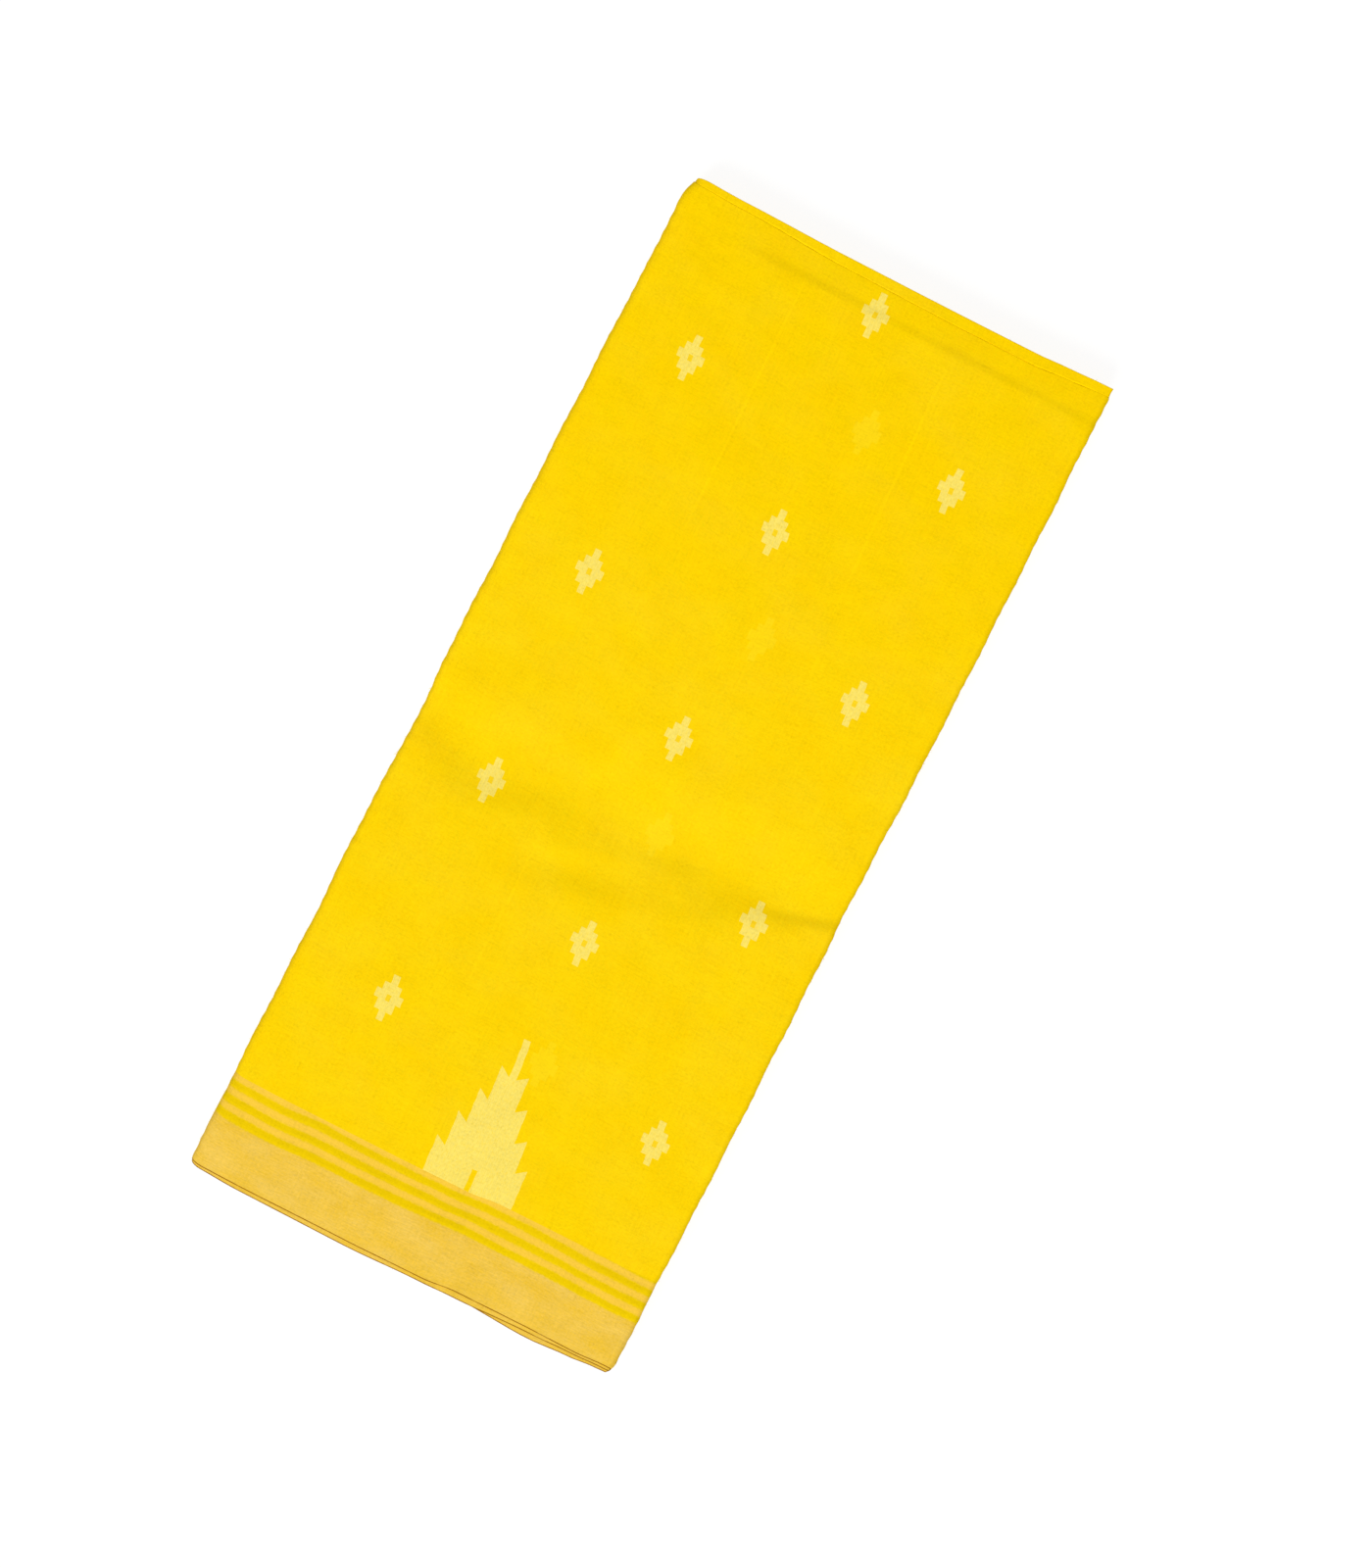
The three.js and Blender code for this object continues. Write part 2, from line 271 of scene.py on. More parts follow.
@dataclass(frozen=True)
class Bundle:
    """The folded bundle's outer sizes and its relief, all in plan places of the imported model."""

    half_width: float
    half_length: float
    height: float
    spine_reach: float = 9.5 * MM
    spine_inward: float = 0.3 * MM
    spine_corner: float = 3.5 * MM
    spine_corner_run: float = 11 * MM
    spine_corner_most: float = 1.2
    spine_ripples: tuple[Ripple, ...] = (Ripple(0.18 * MM, 1.42 * MM, 2.0), Ripple(0.25 * MM, 8.3 * MM))
    right_inward: float = 0.35 * MM
    right_corner: float = 1.6 * MM
    right_corner_run: float = 5 * MM
    right_corner_start: float = -287.2 * MM
    right_corner_most: float = 1.3
    right_ripples: tuple[Ripple, ...] = (Ripple(0.16 * MM, 1.35 * MM), Ripple(0.22 * MM, 7.1 * MM, 1.0))
    side_fall: float = 1.0 * MM
    end_fall: float = 1.4 * MM
    side_room: float = 0.9 * MM
    step_start: float = -100 * MM
    step_full: float = -55 * MM
    step_high: float = 274.2 * MM
    step_low: float = 277.4 * MM
    step_drop: float = 0.50 * MM
    end_drop: float = 0.25 * MM
    end_reach: float = 291 * MM
    crease_fade: float = 5.0
    crease_end: float = 0.2
    full_press: float = 0.14 * MM

    @classmethod
    def from_frame(cls) -> "Bundle":
        """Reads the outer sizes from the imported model's box."""
        low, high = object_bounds()
        return cls((high.x - low.x) / 2 + cls.side_room, (high.y - low.y) / 2, high.z)

    @property
    def seam(self) -> float:
        """Where the flat stretches meet the turn round the left side."""
        return -self.half_width + self.spine_reach

    def edge(self, key: str, x: np.ndarray) -> np.ndarray:
        """Reads one leaf edge's place along the bundle, at places across it."""
        return eased(LEAF_EDGES, "x", key, x)

    def right_side(self, y: np.ndarray) -> np.ndarray:
        """Where the right side lies, at places along the bundle.

        Args:
            y: The places along the bundle.

        Returns:
            The side's place across the bundle at each.
        """
        past = (self.right_corner_start - y) / self.right_corner_run
        corner = np.clip(past, 0.0, self.right_corner_most) ** 2
        inset = eased(SIDE_BOW, "y", "inset", y) + self.right_corner * corner
        wave = sum(ripple.at(y) for ripple in self.right_ripples)
        return self.half_width - self.right_inward - inset + wave

    def spine_inset(self, y: np.ndarray) -> np.ndarray:
        """How far the turn round the left side draws in, at places along the bundle.

        Args:
            y: The places along the bundle.

        Returns:
            The inset at each.
        """
        past = (y - (self.half_length - self.spine_corner_run)) / self.spine_corner_run
        corner = np.clip(past, 0.0, self.spine_corner_most)
        inset = self.spine_inward - eased(SIDE_BOW, "y", "outset", y) + self.spine_corner * corner
        return inset + sum(ripple.at(y) for ripple in self.spine_ripples)

    def trough_depth(self, x: np.ndarray, y: np.ndarray) -> np.ndarray:
        """How deep the soft trough across the bundle is.

        Args:
            x: The places across the bundle.
            y: The places along the bundle.

        Returns:
            The depth at each place.
        """
        brow, floor, foot, depth = (eased(TROUGH, "x", key, x) for key in ("brow", "floor", "foot", "depth"))
        share = np.where(y > floor, (brow - y) / (brow - floor), (y - foot) / (floor - foot))
        return depth * smooth(share)

    def crease_rise(self, crease: Crease, x: np.ndarray, y: np.ndarray) -> np.ndarray:
        """How much one crease lifts the top, fading out towards its ends.

        Args:
            crease: The crease.
            x: The places across the bundle.
            y: The places along the bundle.

        Returns:
            The rise at each place, below 0 in a trough.
        """
        run_x, run_y = crease.x1 - crease.x0, crease.y1 - crease.y0
        along = ((x - crease.x0) * run_x + (y - crease.y0) * run_y) / (run_x**2 + run_y**2)
        held = np.clip(along, 0.0, 1.0)
        apart = np.hypot(x - crease.x0 - held * run_x, y - crease.y0 - held * run_y)
        fade = smooth(np.minimum(held, 1.0 - held) * self.crease_fade)
        ends = fade * (1.0 - self.crease_end) + self.crease_end
        return crease.rise * ends * smooth(1.0 - apart / crease.half_width)

    def pressed(self, x: np.ndarray, y: np.ndarray) -> np.ndarray:
        """How strongly a place lies on a pressed ridge, from 0 to 1, which sets how much painted highlight it
        gets.
        """
        ridges = [crease for crease in CREASES if crease.rise > 0]
        return sum(self.crease_rise(crease, x, y) / self.full_press for crease in ridges)

    def top_height(self, x: np.ndarray, y: np.ndarray) -> np.ndarray:
        """How high the top of the bundle lies at places in plan.

        Args:
            x: The places across the bundle.
            y: The places along the bundle.

        Returns:
            The height at each place.
        """
        across = np.minimum(1.0, np.abs(x) / self.half_width)
        along = np.minimum(1.0, np.abs(y) / self.half_length)
        crown = self.height - self.side_fall * across**4 - self.end_fall * along**6
        stepped = smooth((x - self.step_start) / (self.step_full - self.step_start))
        down = self.step_drop * smooth((y - self.step_high) / (self.step_low - self.step_high))
        past_step = (y - self.step_low) / (self.end_reach - self.step_low)
        down = down + self.end_drop * np.clip(past_step, 0.0, 1.0)
        rise = sum(self.crease_rise(crease, x, y) for crease in CREASES)
        return crown - self.trough_depth(x, y) - stepped * down + rise


@dataclass(frozen=True)
class WeftDrift:
    """How far the pattern's rows lie off true at one distance from the selvedge: left, middle and right."""

    weft: float
    left: float
    middle: float
    right: float


@dataclass(frozen=True)
class BorderSway:
    """How far the border's lines sway towards the selvedge at one place across the bundle."""

    x: float
    sway: float


DRIFT = in_mm(
    WeftDrift,
    (0, 0.0, 0.0, 0.0),
    (60, 0.0, 0.0, 0.0),
    (120, -0.8, -0.2, 4.9),
    (198, -2.4, -0.4, 3.5),
    (250, -3.7, 0.8, 2.2),
    (318, -2.2, 2.7, 0.2),
    (377, -0.8, 3.8, -1.5),
    (439, -1.0, 4.5, -0.9),
    (501, -1.1, 2.0, -0.2),
    (567, -1.1, -0.3, -0.1),
)

BORDER_SWAY = in_mm(
    BorderSway,
    (-114, 1.3),
    (-91, 1.35),
    (-67, 0.5),
    (-44, 0.7),
    (-20, 0.6),
    (3, 0.0),
    (27, -1.3),
    (50, -1.5),
    (74, -1.1),
    (97, 0.2),
    (116, 0.4),
)


@dataclass(frozen=True)
class Cloth:
    """The woven length: its thickness, how far a leaf's plies lie apart, its width and its weave's lean."""

    thickness: float = 0.24 * MM
    ply_spacing: float = 0.40 * MM
    width: float = 1.18
    border: float = 52.5 * MM
    column_lean: float = 0.0405
    lean_growth: float = 0.0787
    left_column: float = -75 * MM
    right_column: float = 85 * MM
    sway_start: float = 26 * MM
    sway_end: float = 92 * MM

    def lean(self, x: np.ndarray) -> np.ndarray:
        """How far the weft leans off square at places across the bundle."""
        return self.column_lean + self.lean_growth * x

    def drift(self, x: np.ndarray, weft: np.ndarray) -> np.ndarray:
        """How far the pattern's rows lie off true at places on the cloth.

        Args:
            x: The places across the bundle.
            weft: The distances from the selvedge.

        Returns:
            How far off true each place is.
        """
        left, middle, right = (eased(DRIFT, "weft", key, weft) for key in ("left", "middle", "right"))
        leftward = mix(middle, left, smooth(x / self.left_column))
        rows = np.where(x < 0, leftward, mix(middle, right, smooth(x / self.right_column)))
        inward = smooth(weft / self.sway_start)
        near = inward * smooth((self.sway_end - weft) / self.sway_start)
        return rows + near * eased(BORDER_SWAY, "x", "sway", x) + inward * eased(LEAF_EDGES, "x", "shift", x)


class Stretch(Enum):
    """The kinds of stretch that the cloth's length runs through as it is folded."""

    LEVEL = "level"
    RIGHT_TURN = "right turn"
    SPINE_TURN = "spine turn"


@dataclass(frozen=True)
class Run:
    """One stretch of the folded length.

    Level runs go between two shares of the way across, and turns go from one level to another.
    """

    kind: Stretch
    level: int
    to_level: int
    shares: tuple[float, ...]


@dataclass(frozen=True)
class Slip:
    """How far the hidden leaves slip back at one edge of the bundle, at most about, and how unevenly."""

    reach: float
    phase: float
    group: int = 4
    group_share: float = 0.36
    group_turn: float = 2.3
    own_share: float = 0.14
    own_turn: float = 2.4

    def of(self, level: int) -> float:
        """A leaf's slip: its group's, which is larger, and its own."""
        group = 1 + math.sin((level - 1) // self.group * self.group_turn + self.phase)
        own = 1 + math.sin(level * self.own_turn + self.phase)
        return self.reach * (self.group_share * group + self.own_share * own)


class FoldedStack:
    """Where each leaf of the folded cloth lies, from level 1 on top to the last on the underside."""

    LEVELS = 24
    UNDER_LAP = 1.7 * MM
    UNDER_RISE = 1.0 * MM
    LAP_START = -0.1 * MM
    LAP_RISE = 0.4 * MM
    LAP_DEPTH = 3
    UNEVEN = 0.1
    UNEVEN_TURN = 1.7
    UNEVEN_BEND = 2.0
    UNEVEN_LENGTH = 0.09
    UNEVEN_WIDTH = 0.11
    FOLD_SLIP = Slip(2.4 * MM, 0.4)
    SELVEDGE_SLIP = Slip(2.2 * MM, 1.3)
    RIGHT_SLIP = Slip(1.8 * MM, 0.9)
    THIRD_LAP = 0.7 * MM
    HIDDEN_LAP = 0.5 * MM
    UPPER_WANDER = 0.5 * MM
    UPPER_LENGTH = 0.04
    LOWER_WANDER = 0.4 * MM
    LOWER_LENGTH = 0.05
    RIGHT_WANDER = 0.25 * MM
    RIGHT_LENGTH = 0.06
    RIGHT_PHASE = 1.9

    def __init__(self, bundle: Bundle, cloth: Cloth) -> None:
        """Keeps the sizes."""
        self.bundle = bundle
        self.cloth = cloth
        self.leaf_half = (cloth.ply_spacing + cloth.thickness) / 2

    def weight(self, gap: int, x: np.ndarray, y: np.ndarray) -> np.ndarray:
        """How thick the gap below a leaf is beside the others, at places in plan."""
        bend = self.UNEVEN_BEND * np.sin(y / self.UNEVEN_LENGTH + gap)
        return 1 + self.UNEVEN * np.sin(self.UNEVEN_TURN * gap + bend + x / self.UNEVEN_WIDTH)

    def height(self, level: int, x: np.ndarray, y: np.ndarray) -> np.ndarray:
        """How high the middle of a leaf lies, between the flat underside and the top's relief.

        Args:
            level: The leaf.
            x: The places across the bundle.
            y: The places along the bundle.

        Returns:
            The height at each place.
        """
        weights = [self.weight(gap, x, y) for gap in range(self.LEVELS - 1)]
        total = sum(weights)
        above = sum(weights[: level - 1]) if level > 1 else 0.0 * y
        share = 1.0 - above / total
        top = self.bundle.top_height(x, y) - self.leaf_half
        if level > 2:
            past_top = y - self.bundle.edge("top_fold", x)
            first = smooth((past_top + self.UNDER_LAP) / self.UNDER_RISE)
            last = smooth((past_top - self.LAP_START) / self.LAP_RISE)
            freed = (weights[1] * first + weights[0] * last) / total
            third = 1.0 - (weights[0] + weights[1]) / total
            share = share + freed * (share / third) ** self.LAP_DEPTH
        return mix(self.leaf_half, top, share)

    def fold_edge(self, level: int, x: np.ndarray) -> np.ndarray:
        """Where a leaf's fold at the middle of the width lies along the bundle.

        Args:
            level: The leaf.
            x: The places across the bundle.

        Returns:
            The fold's place at each.
        """
        if level <= 2:
            return self.bundle.edge("top_fold", x) - self.UNDER_LAP * (level - 1)
        shown = self.bundle.edge("second_fold", x)
        return shown if level <= 4 else shown - self.FOLD_SLIP.of(level)

    def selvedges(self, level: int, x: np.ndarray) -> tuple[np.ndarray, np.ndarray]:
        """Where a leaf's upper and lower selvedges lie along the bundle.

        Args:
            level: The leaf.
            x: The places across the bundle.

        Returns:
            The upper's places, and the lower's.
        """
        if level == 1:
            return self.bundle.edge("top_selvedge", x), self.bundle.edge("second_selvedge", x)
        if level == 2:
            third = self.bundle.edge("third_selvedge", x)
            return third, third + self.THIRD_LAP
        base = self.bundle.edge("top_selvedge", x) + (0.0 if level <= 4 else self.SELVEDGE_SLIP.of(level))
        upper = self.UPPER_WANDER * np.sin(x / self.UPPER_LENGTH + level)
        lower = self.LOWER_WANDER * np.sin(x / self.LOWER_LENGTH + 2 * level)
        return base + upper, base + self.HIDDEN_LAP + lower

    def right_edge(self, level: int, y: np.ndarray) -> np.ndarray:
        """How far to the right a leaf reaches. Leaves that turn into each other share a place.

        Args:
            level: The leaf.
            y: The places along the bundle.

        Returns:
            Its reach at each place.
        """
        upper = level <= self.LEVELS // 2
        pair = (level + 1) // 2 if upper else level // 2 + self.LEVELS
        side = self.bundle.right_side(y)
        if pair == 1:
            return side
        draw = 0.0 if pair == 2 else self.RIGHT_SLIP.of(pair * 2)
        wander = self.RIGHT_WANDER * np.sin(y / self.RIGHT_LENGTH + pair * self.RIGHT_PHASE)
        return side - draw - (wander + self.RIGHT_WANDER)


@dataclass
class Sheet:
    """A stretch of the folded cloth as a grid of points, with its pattern's coordinates and the light and
    shade painted on it.

    The painted light is how much paler a place is painted, as a painted highlight on the pressed ridges, or
    how much darker where it is below 0, as painted shade where the cloth rolls off at a side.
    """

    points: np.ndarray
    pattern: np.ndarray
    tone: np.ndarray


@dataclass(frozen=True)
class Rows:
    """Rows of points over one ply: steps over the border, then parts of the field with their own steps."""

    border_steps: int
    field: tuple[tuple[float, int], ...]
    crowding: float = 1.5

    def places(self) -> np.ndarray:
        """Lists each row's share of the border, closer together at the selvedge, and of the field."""
        border = np.linspace(0.0, 1.0, self.border_steps + 1) ** self.crowding
        field = graded(0.0, self.field)[1:]
        reach = np.concatenate([border, np.ones_like(field)])
        return np.stack([reach, np.concatenate([np.zeros_like(border), field])], 1)


Column = tuple[np.ndarray, np.ndarray, np.ndarray]


class SheetBuilder:
    """Works out the points of the folded cloth along a list of runs."""

    NOSE_STEPS = 6
    TURN_REACH = 0.42 * MM
    MEASURED_PART = 3
    LEAST_SIZE = 1e-9
    # How much paler the pressed ridges are painted, as a painted highlight.
    PRESSED_HIGHLIGHT = 0.06
    # How much darker the cloth is painted where it rolls off at a side, as painted shade, and where that
    # painted shade starts and fades.
    RIM_SHADE = 0.20
    RIM_ANGLE = math.radians(47)
    RIM_FADE = math.radians(26)
    RIM_REACH = 3.0 * MM
    RIM_RUN = 2.6 * MM

    def __init__(self, stack: FoldedStack, upper: Rows, lower: Rows) -> None:
        """Keeps the rows of points across the cloth's width.

        Args:
            stack: Where the leaves lie.
            upper: The rows of the first ply, from its selvedge to the fold.
            lower: The rows of the second ply, likewise.
        """
        self.stack = stack
        half = stack.cloth.ply_spacing / 2
        turn = np.linspace(0.0, math.pi, self.NOSE_STEPS + 1)[1:-1]
        there, back = upper.places(), lower.places()[::-1]
        self.reach = np.concatenate([there[:, 0], np.ones_like(turn), back[:, 0]])
        self.share = np.concatenate([there[:, 1], np.ones_like(turn), back[:, 1]])
        self.lift = np.concatenate([there[:, 0] * 0 + half, half * np.cos(turn), back[:, 0] * 0 - half])
        self.bulge = np.concatenate([there[:, 0] * 0, half * np.sin(turn), back[:, 0] * 0])
        self.on_second = np.arange(len(self.share)) >= len(there) + len(turn)

    def along(self, level: int, x: np.ndarray, upward: bool) -> tuple[np.ndarray, np.ndarray]:
        """Places along the bundle, and distances from the nearer selvedge, of every row of a leaf.

        Args:
            level: The leaf.
            x: Where each row crosses the bundle.
            upward: Whether the first ply is the upper one.

        Returns:
            The places and the distances.
        """
        upper, lower = self.stack.selvedges(level, x)
        first, last = (upper, lower) if upward else (lower, upper)
        border = self.stack.cloth.border
        selvedge = np.where(self.on_second, last, first)
        fold = self.stack.fold_edge(level, x) - self.stack.cloth.ply_spacing / 2
        y = selvedge + self.reach * border + self.share * (fold - selvedge - border)
        return y + self.bulge, y - selvedge

    def level_end(self, level: int, y: np.ndarray) -> np.ndarray:
        """Where a leaf's level stretch ends at the right and its turn begins."""
        return self.stack.right_edge(level, y) - (self.TURN_REACH + self.stack.leaf_half)

    def level_station(self, run: Run, share: float, direction: int) -> Column:
        """Works out one column of points on a level run, with the same arguments and results as station."""
        seam = self.stack.bundle.seam
        rough = self.level_end(run.level, np.zeros_like(self.share))
        x = np.full_like(self.share, mix(seam, rough[0], share))
        y, from_selvedge = self.along(run.level, x, direction > 0)
        x = mix(np.full_like(y, seam), self.level_end(run.level, y), share)
        z = self.stack.height(run.level, x, y) + self.lift * direction
        return np.stack([x, y, z], 1), from_selvedge, x

    def turn_station(self, run: Run, share: float, direction: int) -> Column:
        """Works out one column of points on a turn, with the same arguments and results as station."""
        stack, bundle = self.stack, self.stack.bundle
        spine = run.kind is Stretch.SPINE_TURN
        rising = run.to_level < run.level
        x = np.full_like(self.share, bundle.seam if spine else bundle.half_width)
        ways = ((run.level, direction > 0), (run.to_level, direction < 0))
        ends = [self.along(level, x, upward) for level, upward in ways]
        y, from_selvedge = (mix(a, b, smooth(np.array(share))) for a, b in zip(*ends))
        centre_x = np.full_like(y, bundle.seam) if spine else self.level_end(run.level, y)
        start, end = stack.height(run.level, centre_x, y), stack.height(run.to_level, centre_x, y)
        middle, tall = (start + end) / 2, np.abs(start - end) / 2
        angle = math.pi * (share - 0.5) * (1 if rising else -1)
        wide = tall
        if spine:
            outer = bundle.top_height(centre_x, y) / 2
            wide = tall * (bundle.spine_reach - bundle.spine_inset(y)) / outer
        side = -1.0 if spine else 1.0
        normal_x, normal_z = tall * math.cos(angle) * side, wide * math.sin(angle)
        size = np.maximum(np.hypot(normal_x, normal_z), self.LEAST_SIZE)
        lift = self.lift * side * (-1.0 if rising else 1.0)
        x = centre_x + side * wide * math.cos(angle) + lift * normal_x / size
        z = middle + tall * math.sin(angle) + lift * normal_z / size
        return np.stack([x, y, z], 1), from_selvedge, centre_x

    def station(self, run: Run, share: float, direction: int) -> Column:
        """Works out one column of points.

        Args:
            run: The stretch that it lies in.
            share: How far along the stretch.
            direction: 1 where the length runs to the right on this stretch's first level, and -1 to the left.

        Returns:
            The points, and each one's distance from the selvedge and place across.
        """
        works = self.level_station if run.kind is Stretch.LEVEL else self.turn_station
        return works(run, share, direction)

    def build(self, runs: Sequence[Run], start: float) -> Sheet:
        """Works out a sheet along its runs.

        Args:
            runs: The stretches in order.
            start: The length coordinate of the first point.

        Returns:
            The sheet's points, its pattern's coordinates and its painted highlight and shade, a column for
            each station.
        """
        cloth = self.stack.cloth
        columns, patterns, painted_lights = [], [], []
        direction = 1 if self.starts_rightward(runs) else -1
        length, previous = start, None
        for run in runs:
            for share in run.shares:
                points, from_selvedge, x = self.station(run, share, direction)
                measured = points[len(points) // self.MEASURED_PART]
                if previous is not None:
                    length += float(np.linalg.norm(measured - previous))
                previous = measured
                warp = length + cloth.lean(x) * from_selvedge
                columns.append(points)
                patterns.append(np.stack([warp, from_selvedge + cloth.drift(x, from_selvedge)], 1))
                painted_lights.append(self.tone(run, share, points))
            if run.kind is not Stretch.LEVEL:
                direction = -direction
        return Sheet(np.array(columns), np.array(patterns), np.array(painted_lights))

    def tone(self, run: Run, share: float, points: np.ndarray) -> np.ndarray:
        """How much paler a column is painted, as a painted highlight on its pressed ridges, or how much
        darker, as painted shade where it rolls off at a side.

        Args:
            run: The stretch that it lies in.
            share: How far along the stretch.
            points: The column.

        Returns:
            The painted highlight and shade of each point.
        """
        even = np.ones(len(points))
        # Painted shade: the whole turn at the right side is painted darker.
        if run.kind is Stretch.RIGHT_TURN:
            return -self.RIM_SHADE * even
        # Painted shade: the turn round the left side is painted darker where it faces away from the top.
        if run.kind is Stretch.SPINE_TURN:
            angle = math.pi * (share - 0.5) * (1 if run.to_level < run.level else -1)
            return -self.RIM_SHADE * smooth(even * (self.RIM_ANGLE - angle) / self.RIM_FADE)
        if run.level > 1:
            return 0.0 * even
        bundle = self.stack.bundle
        # On the top leaf: painted shade within a few millimetres of the right side.
        inward = bundle.right_side(points[:, 1]) - points[:, 0]
        rim = smooth((self.RIM_REACH - inward) / self.RIM_RUN)
        # Painted highlight on the pressed ridges, less the painted shade near the right side.
        return self.PRESSED_HIGHLIGHT * bundle.pressed(points[:, 0], points[:, 1]) - self.RIM_SHADE * rim

    @staticmethod
    def starts_rightward(runs: Sequence[Run]) -> bool:
        """Whether the first level run goes to the right."""
        first = next(run for run in runs if run.kind is Stretch.LEVEL)
        return first.shares[-1] > first.shares[0]


class MeshMaker:
    """Turns the points of a sheet into closed shells of cloth."""

    SHARP_ANGLE = math.radians(50)

    def __init__(self, cloth: Cloth) -> None:
        """Keeps the cloth's thickness."""
        self.cloth = cloth

    def shell(
        self, name: str, sheet: Sheet, rows: np.ndarray, material: bpy.types.Material
    ) -> bpy.types.Object:
        """Makes one piece from some of a sheet's rows.

        Args:
            name: The piece's name.
            sheet: The grid of points.
            rows: Which faces to keep: true for each step between rows that belongs to the piece.
            material: The piece's finish.

        Returns:
            The piece, a closed shell of the cloth's thickness.
        """
        across, along = sheet.points.shape[:2]
        work = bmesh.new()
        pattern = work.loops.layers.uv.new("pattern")
        # Each point carries its painted highlight and painted shade, which the finishes read.
        tone = work.verts.layers.float.new("tone")
        bmesh.ops.create_grid(work, x_segments=across - 1, y_segments=along - 1, size=1.0, calc_uvs=False)
        places = {}
        for vertex in work.verts:
            column = round((vertex.co.x + 1) / 2 * (across - 1))
            row = round((vertex.co.y + 1) / 2 * (along - 1))
            places[vertex] = (column, row)
        for vertex, place in places.items():
            vertex.co = sheet.points[place]
            vertex[tone] = float(sheet.tone[place])
        left_out = []
        for face in work.faces:
            face.smooth = True
            for loop in face.loops:
                loop[pattern].uv = sheet.pattern[places[loop.vert]]
            if not rows[min(places[vertex][1] for vertex in face.verts)]:
                left_out.append(face)
        bmesh.ops.delete(work, geom=left_out, context="FACES")
        made = place_in_scene(name, work, material)
        self.thicken(made)
        return made

    def thicken(self, made: bpy.types.Object) -> None:
        """Gives a piece the cloth's thickness, half to each side, with sharp edges at its cuts.

        Args:
            made: The piece, as a sheet without thickness.
        """
        solid = made.modifiers.new("thickness", "SOLIDIFY")
        solid.thickness = self.cloth.thickness
        solid.offset = 0.0
        graph = bpy.context.evaluated_depsgraph_get()
        thick = bpy.data.meshes.new_from_object(made.evaluated_get(graph))
        made.modifiers.clear()
        thin, made.data = made.data, thick
        bpy.data.meshes.remove(thin)
        thick.name = made.name
        thick.set_sharp_from_angle(angle=self.SHARP_ANGLE)


def linear(red: int, green: int, blue: int) -> tuple[float, float, float]:
    """Turns a display colour into a linear one."""
    shares = (value / 255 for value in (red, green, blue))
    return tuple(s / 12.92 if s <= 0.04045 else ((s + 0.055) / 1.055) ** 2.4 for s in shares)


@dataclass(frozen=True)
class Grain:
    """One noise over the cloth.

    It has the size of its blotches along the warp and along the weft in millimetres, how many finer noises it
    holds, which noise it is, and how much it is spread from a half.
    """

    warp: float
    weft: float
    detail: float = 2.0
    shift: float = 0.0
    contrast: float = 1.0


class Signal:
    """A value that changes over the cloth: an output of a finish's nodes, with sums written as sums."""

    SOFT = 0.25

    def __init__(self, finish: "Finish", socket: bpy.types.NodeSocket) -> None:
        """Keeps the finish and the output."""
        self.finish = finish
        self.socket = socket

    def __add__(self, other: "Value") -> "Signal":
        """Adds another value."""
        return self.finish.math("ADD", self, other)

    def __sub__(self, other: "Value") -> "Signal":
        """Takes another value away."""
        return self.finish.math("SUBTRACT", self, other)

    def __rsub__(self, other: float) -> "Signal":
        """Takes this value away from a number."""
        return self.finish.math("SUBTRACT", other, self)

    def __mul__(self, other: "Value") -> "Signal":
        """Multiplies by another value."""
        return self.finish.math("MULTIPLY", self, other)

    def __truediv__(self, other: float) -> "Signal":
        """Divides by a number."""
        return self.finish.math("DIVIDE", self, other)

    def __abs__(self) -> "Signal":
        """The value without its sign."""
        return self.finish.math("ABSOLUTE", self)

    def sway(self, amount: float) -> "Signal":
        """Turns noise into a value that sways that much to each side of nothing."""
        return (self - 0.5) * (2.0 * amount)

    def wrap(self, span: float) -> "Signal":
        """Repeats the value over a span, from minus half of it to plus half."""
        return self.finish.math("WRAP", self, span / 2, -span / 2)

    def below(self, limit: "Value", soft: float = SOFT) -> "Signal":
        """A mask that is 1 where the value lies below the limit, with a soft edge in millimetres."""
        return self.finish.step((limit - self) / soft)

    def above(self, limit: "Value", soft: float = SOFT) -> "Signal":
        """A mask that is 1 where the value lies above the limit, with a soft edge in millimetres."""
        return self.finish.step((self - limit) / soft)


Value = float | Signal
Colour = tuple[float, float, float] | Signal


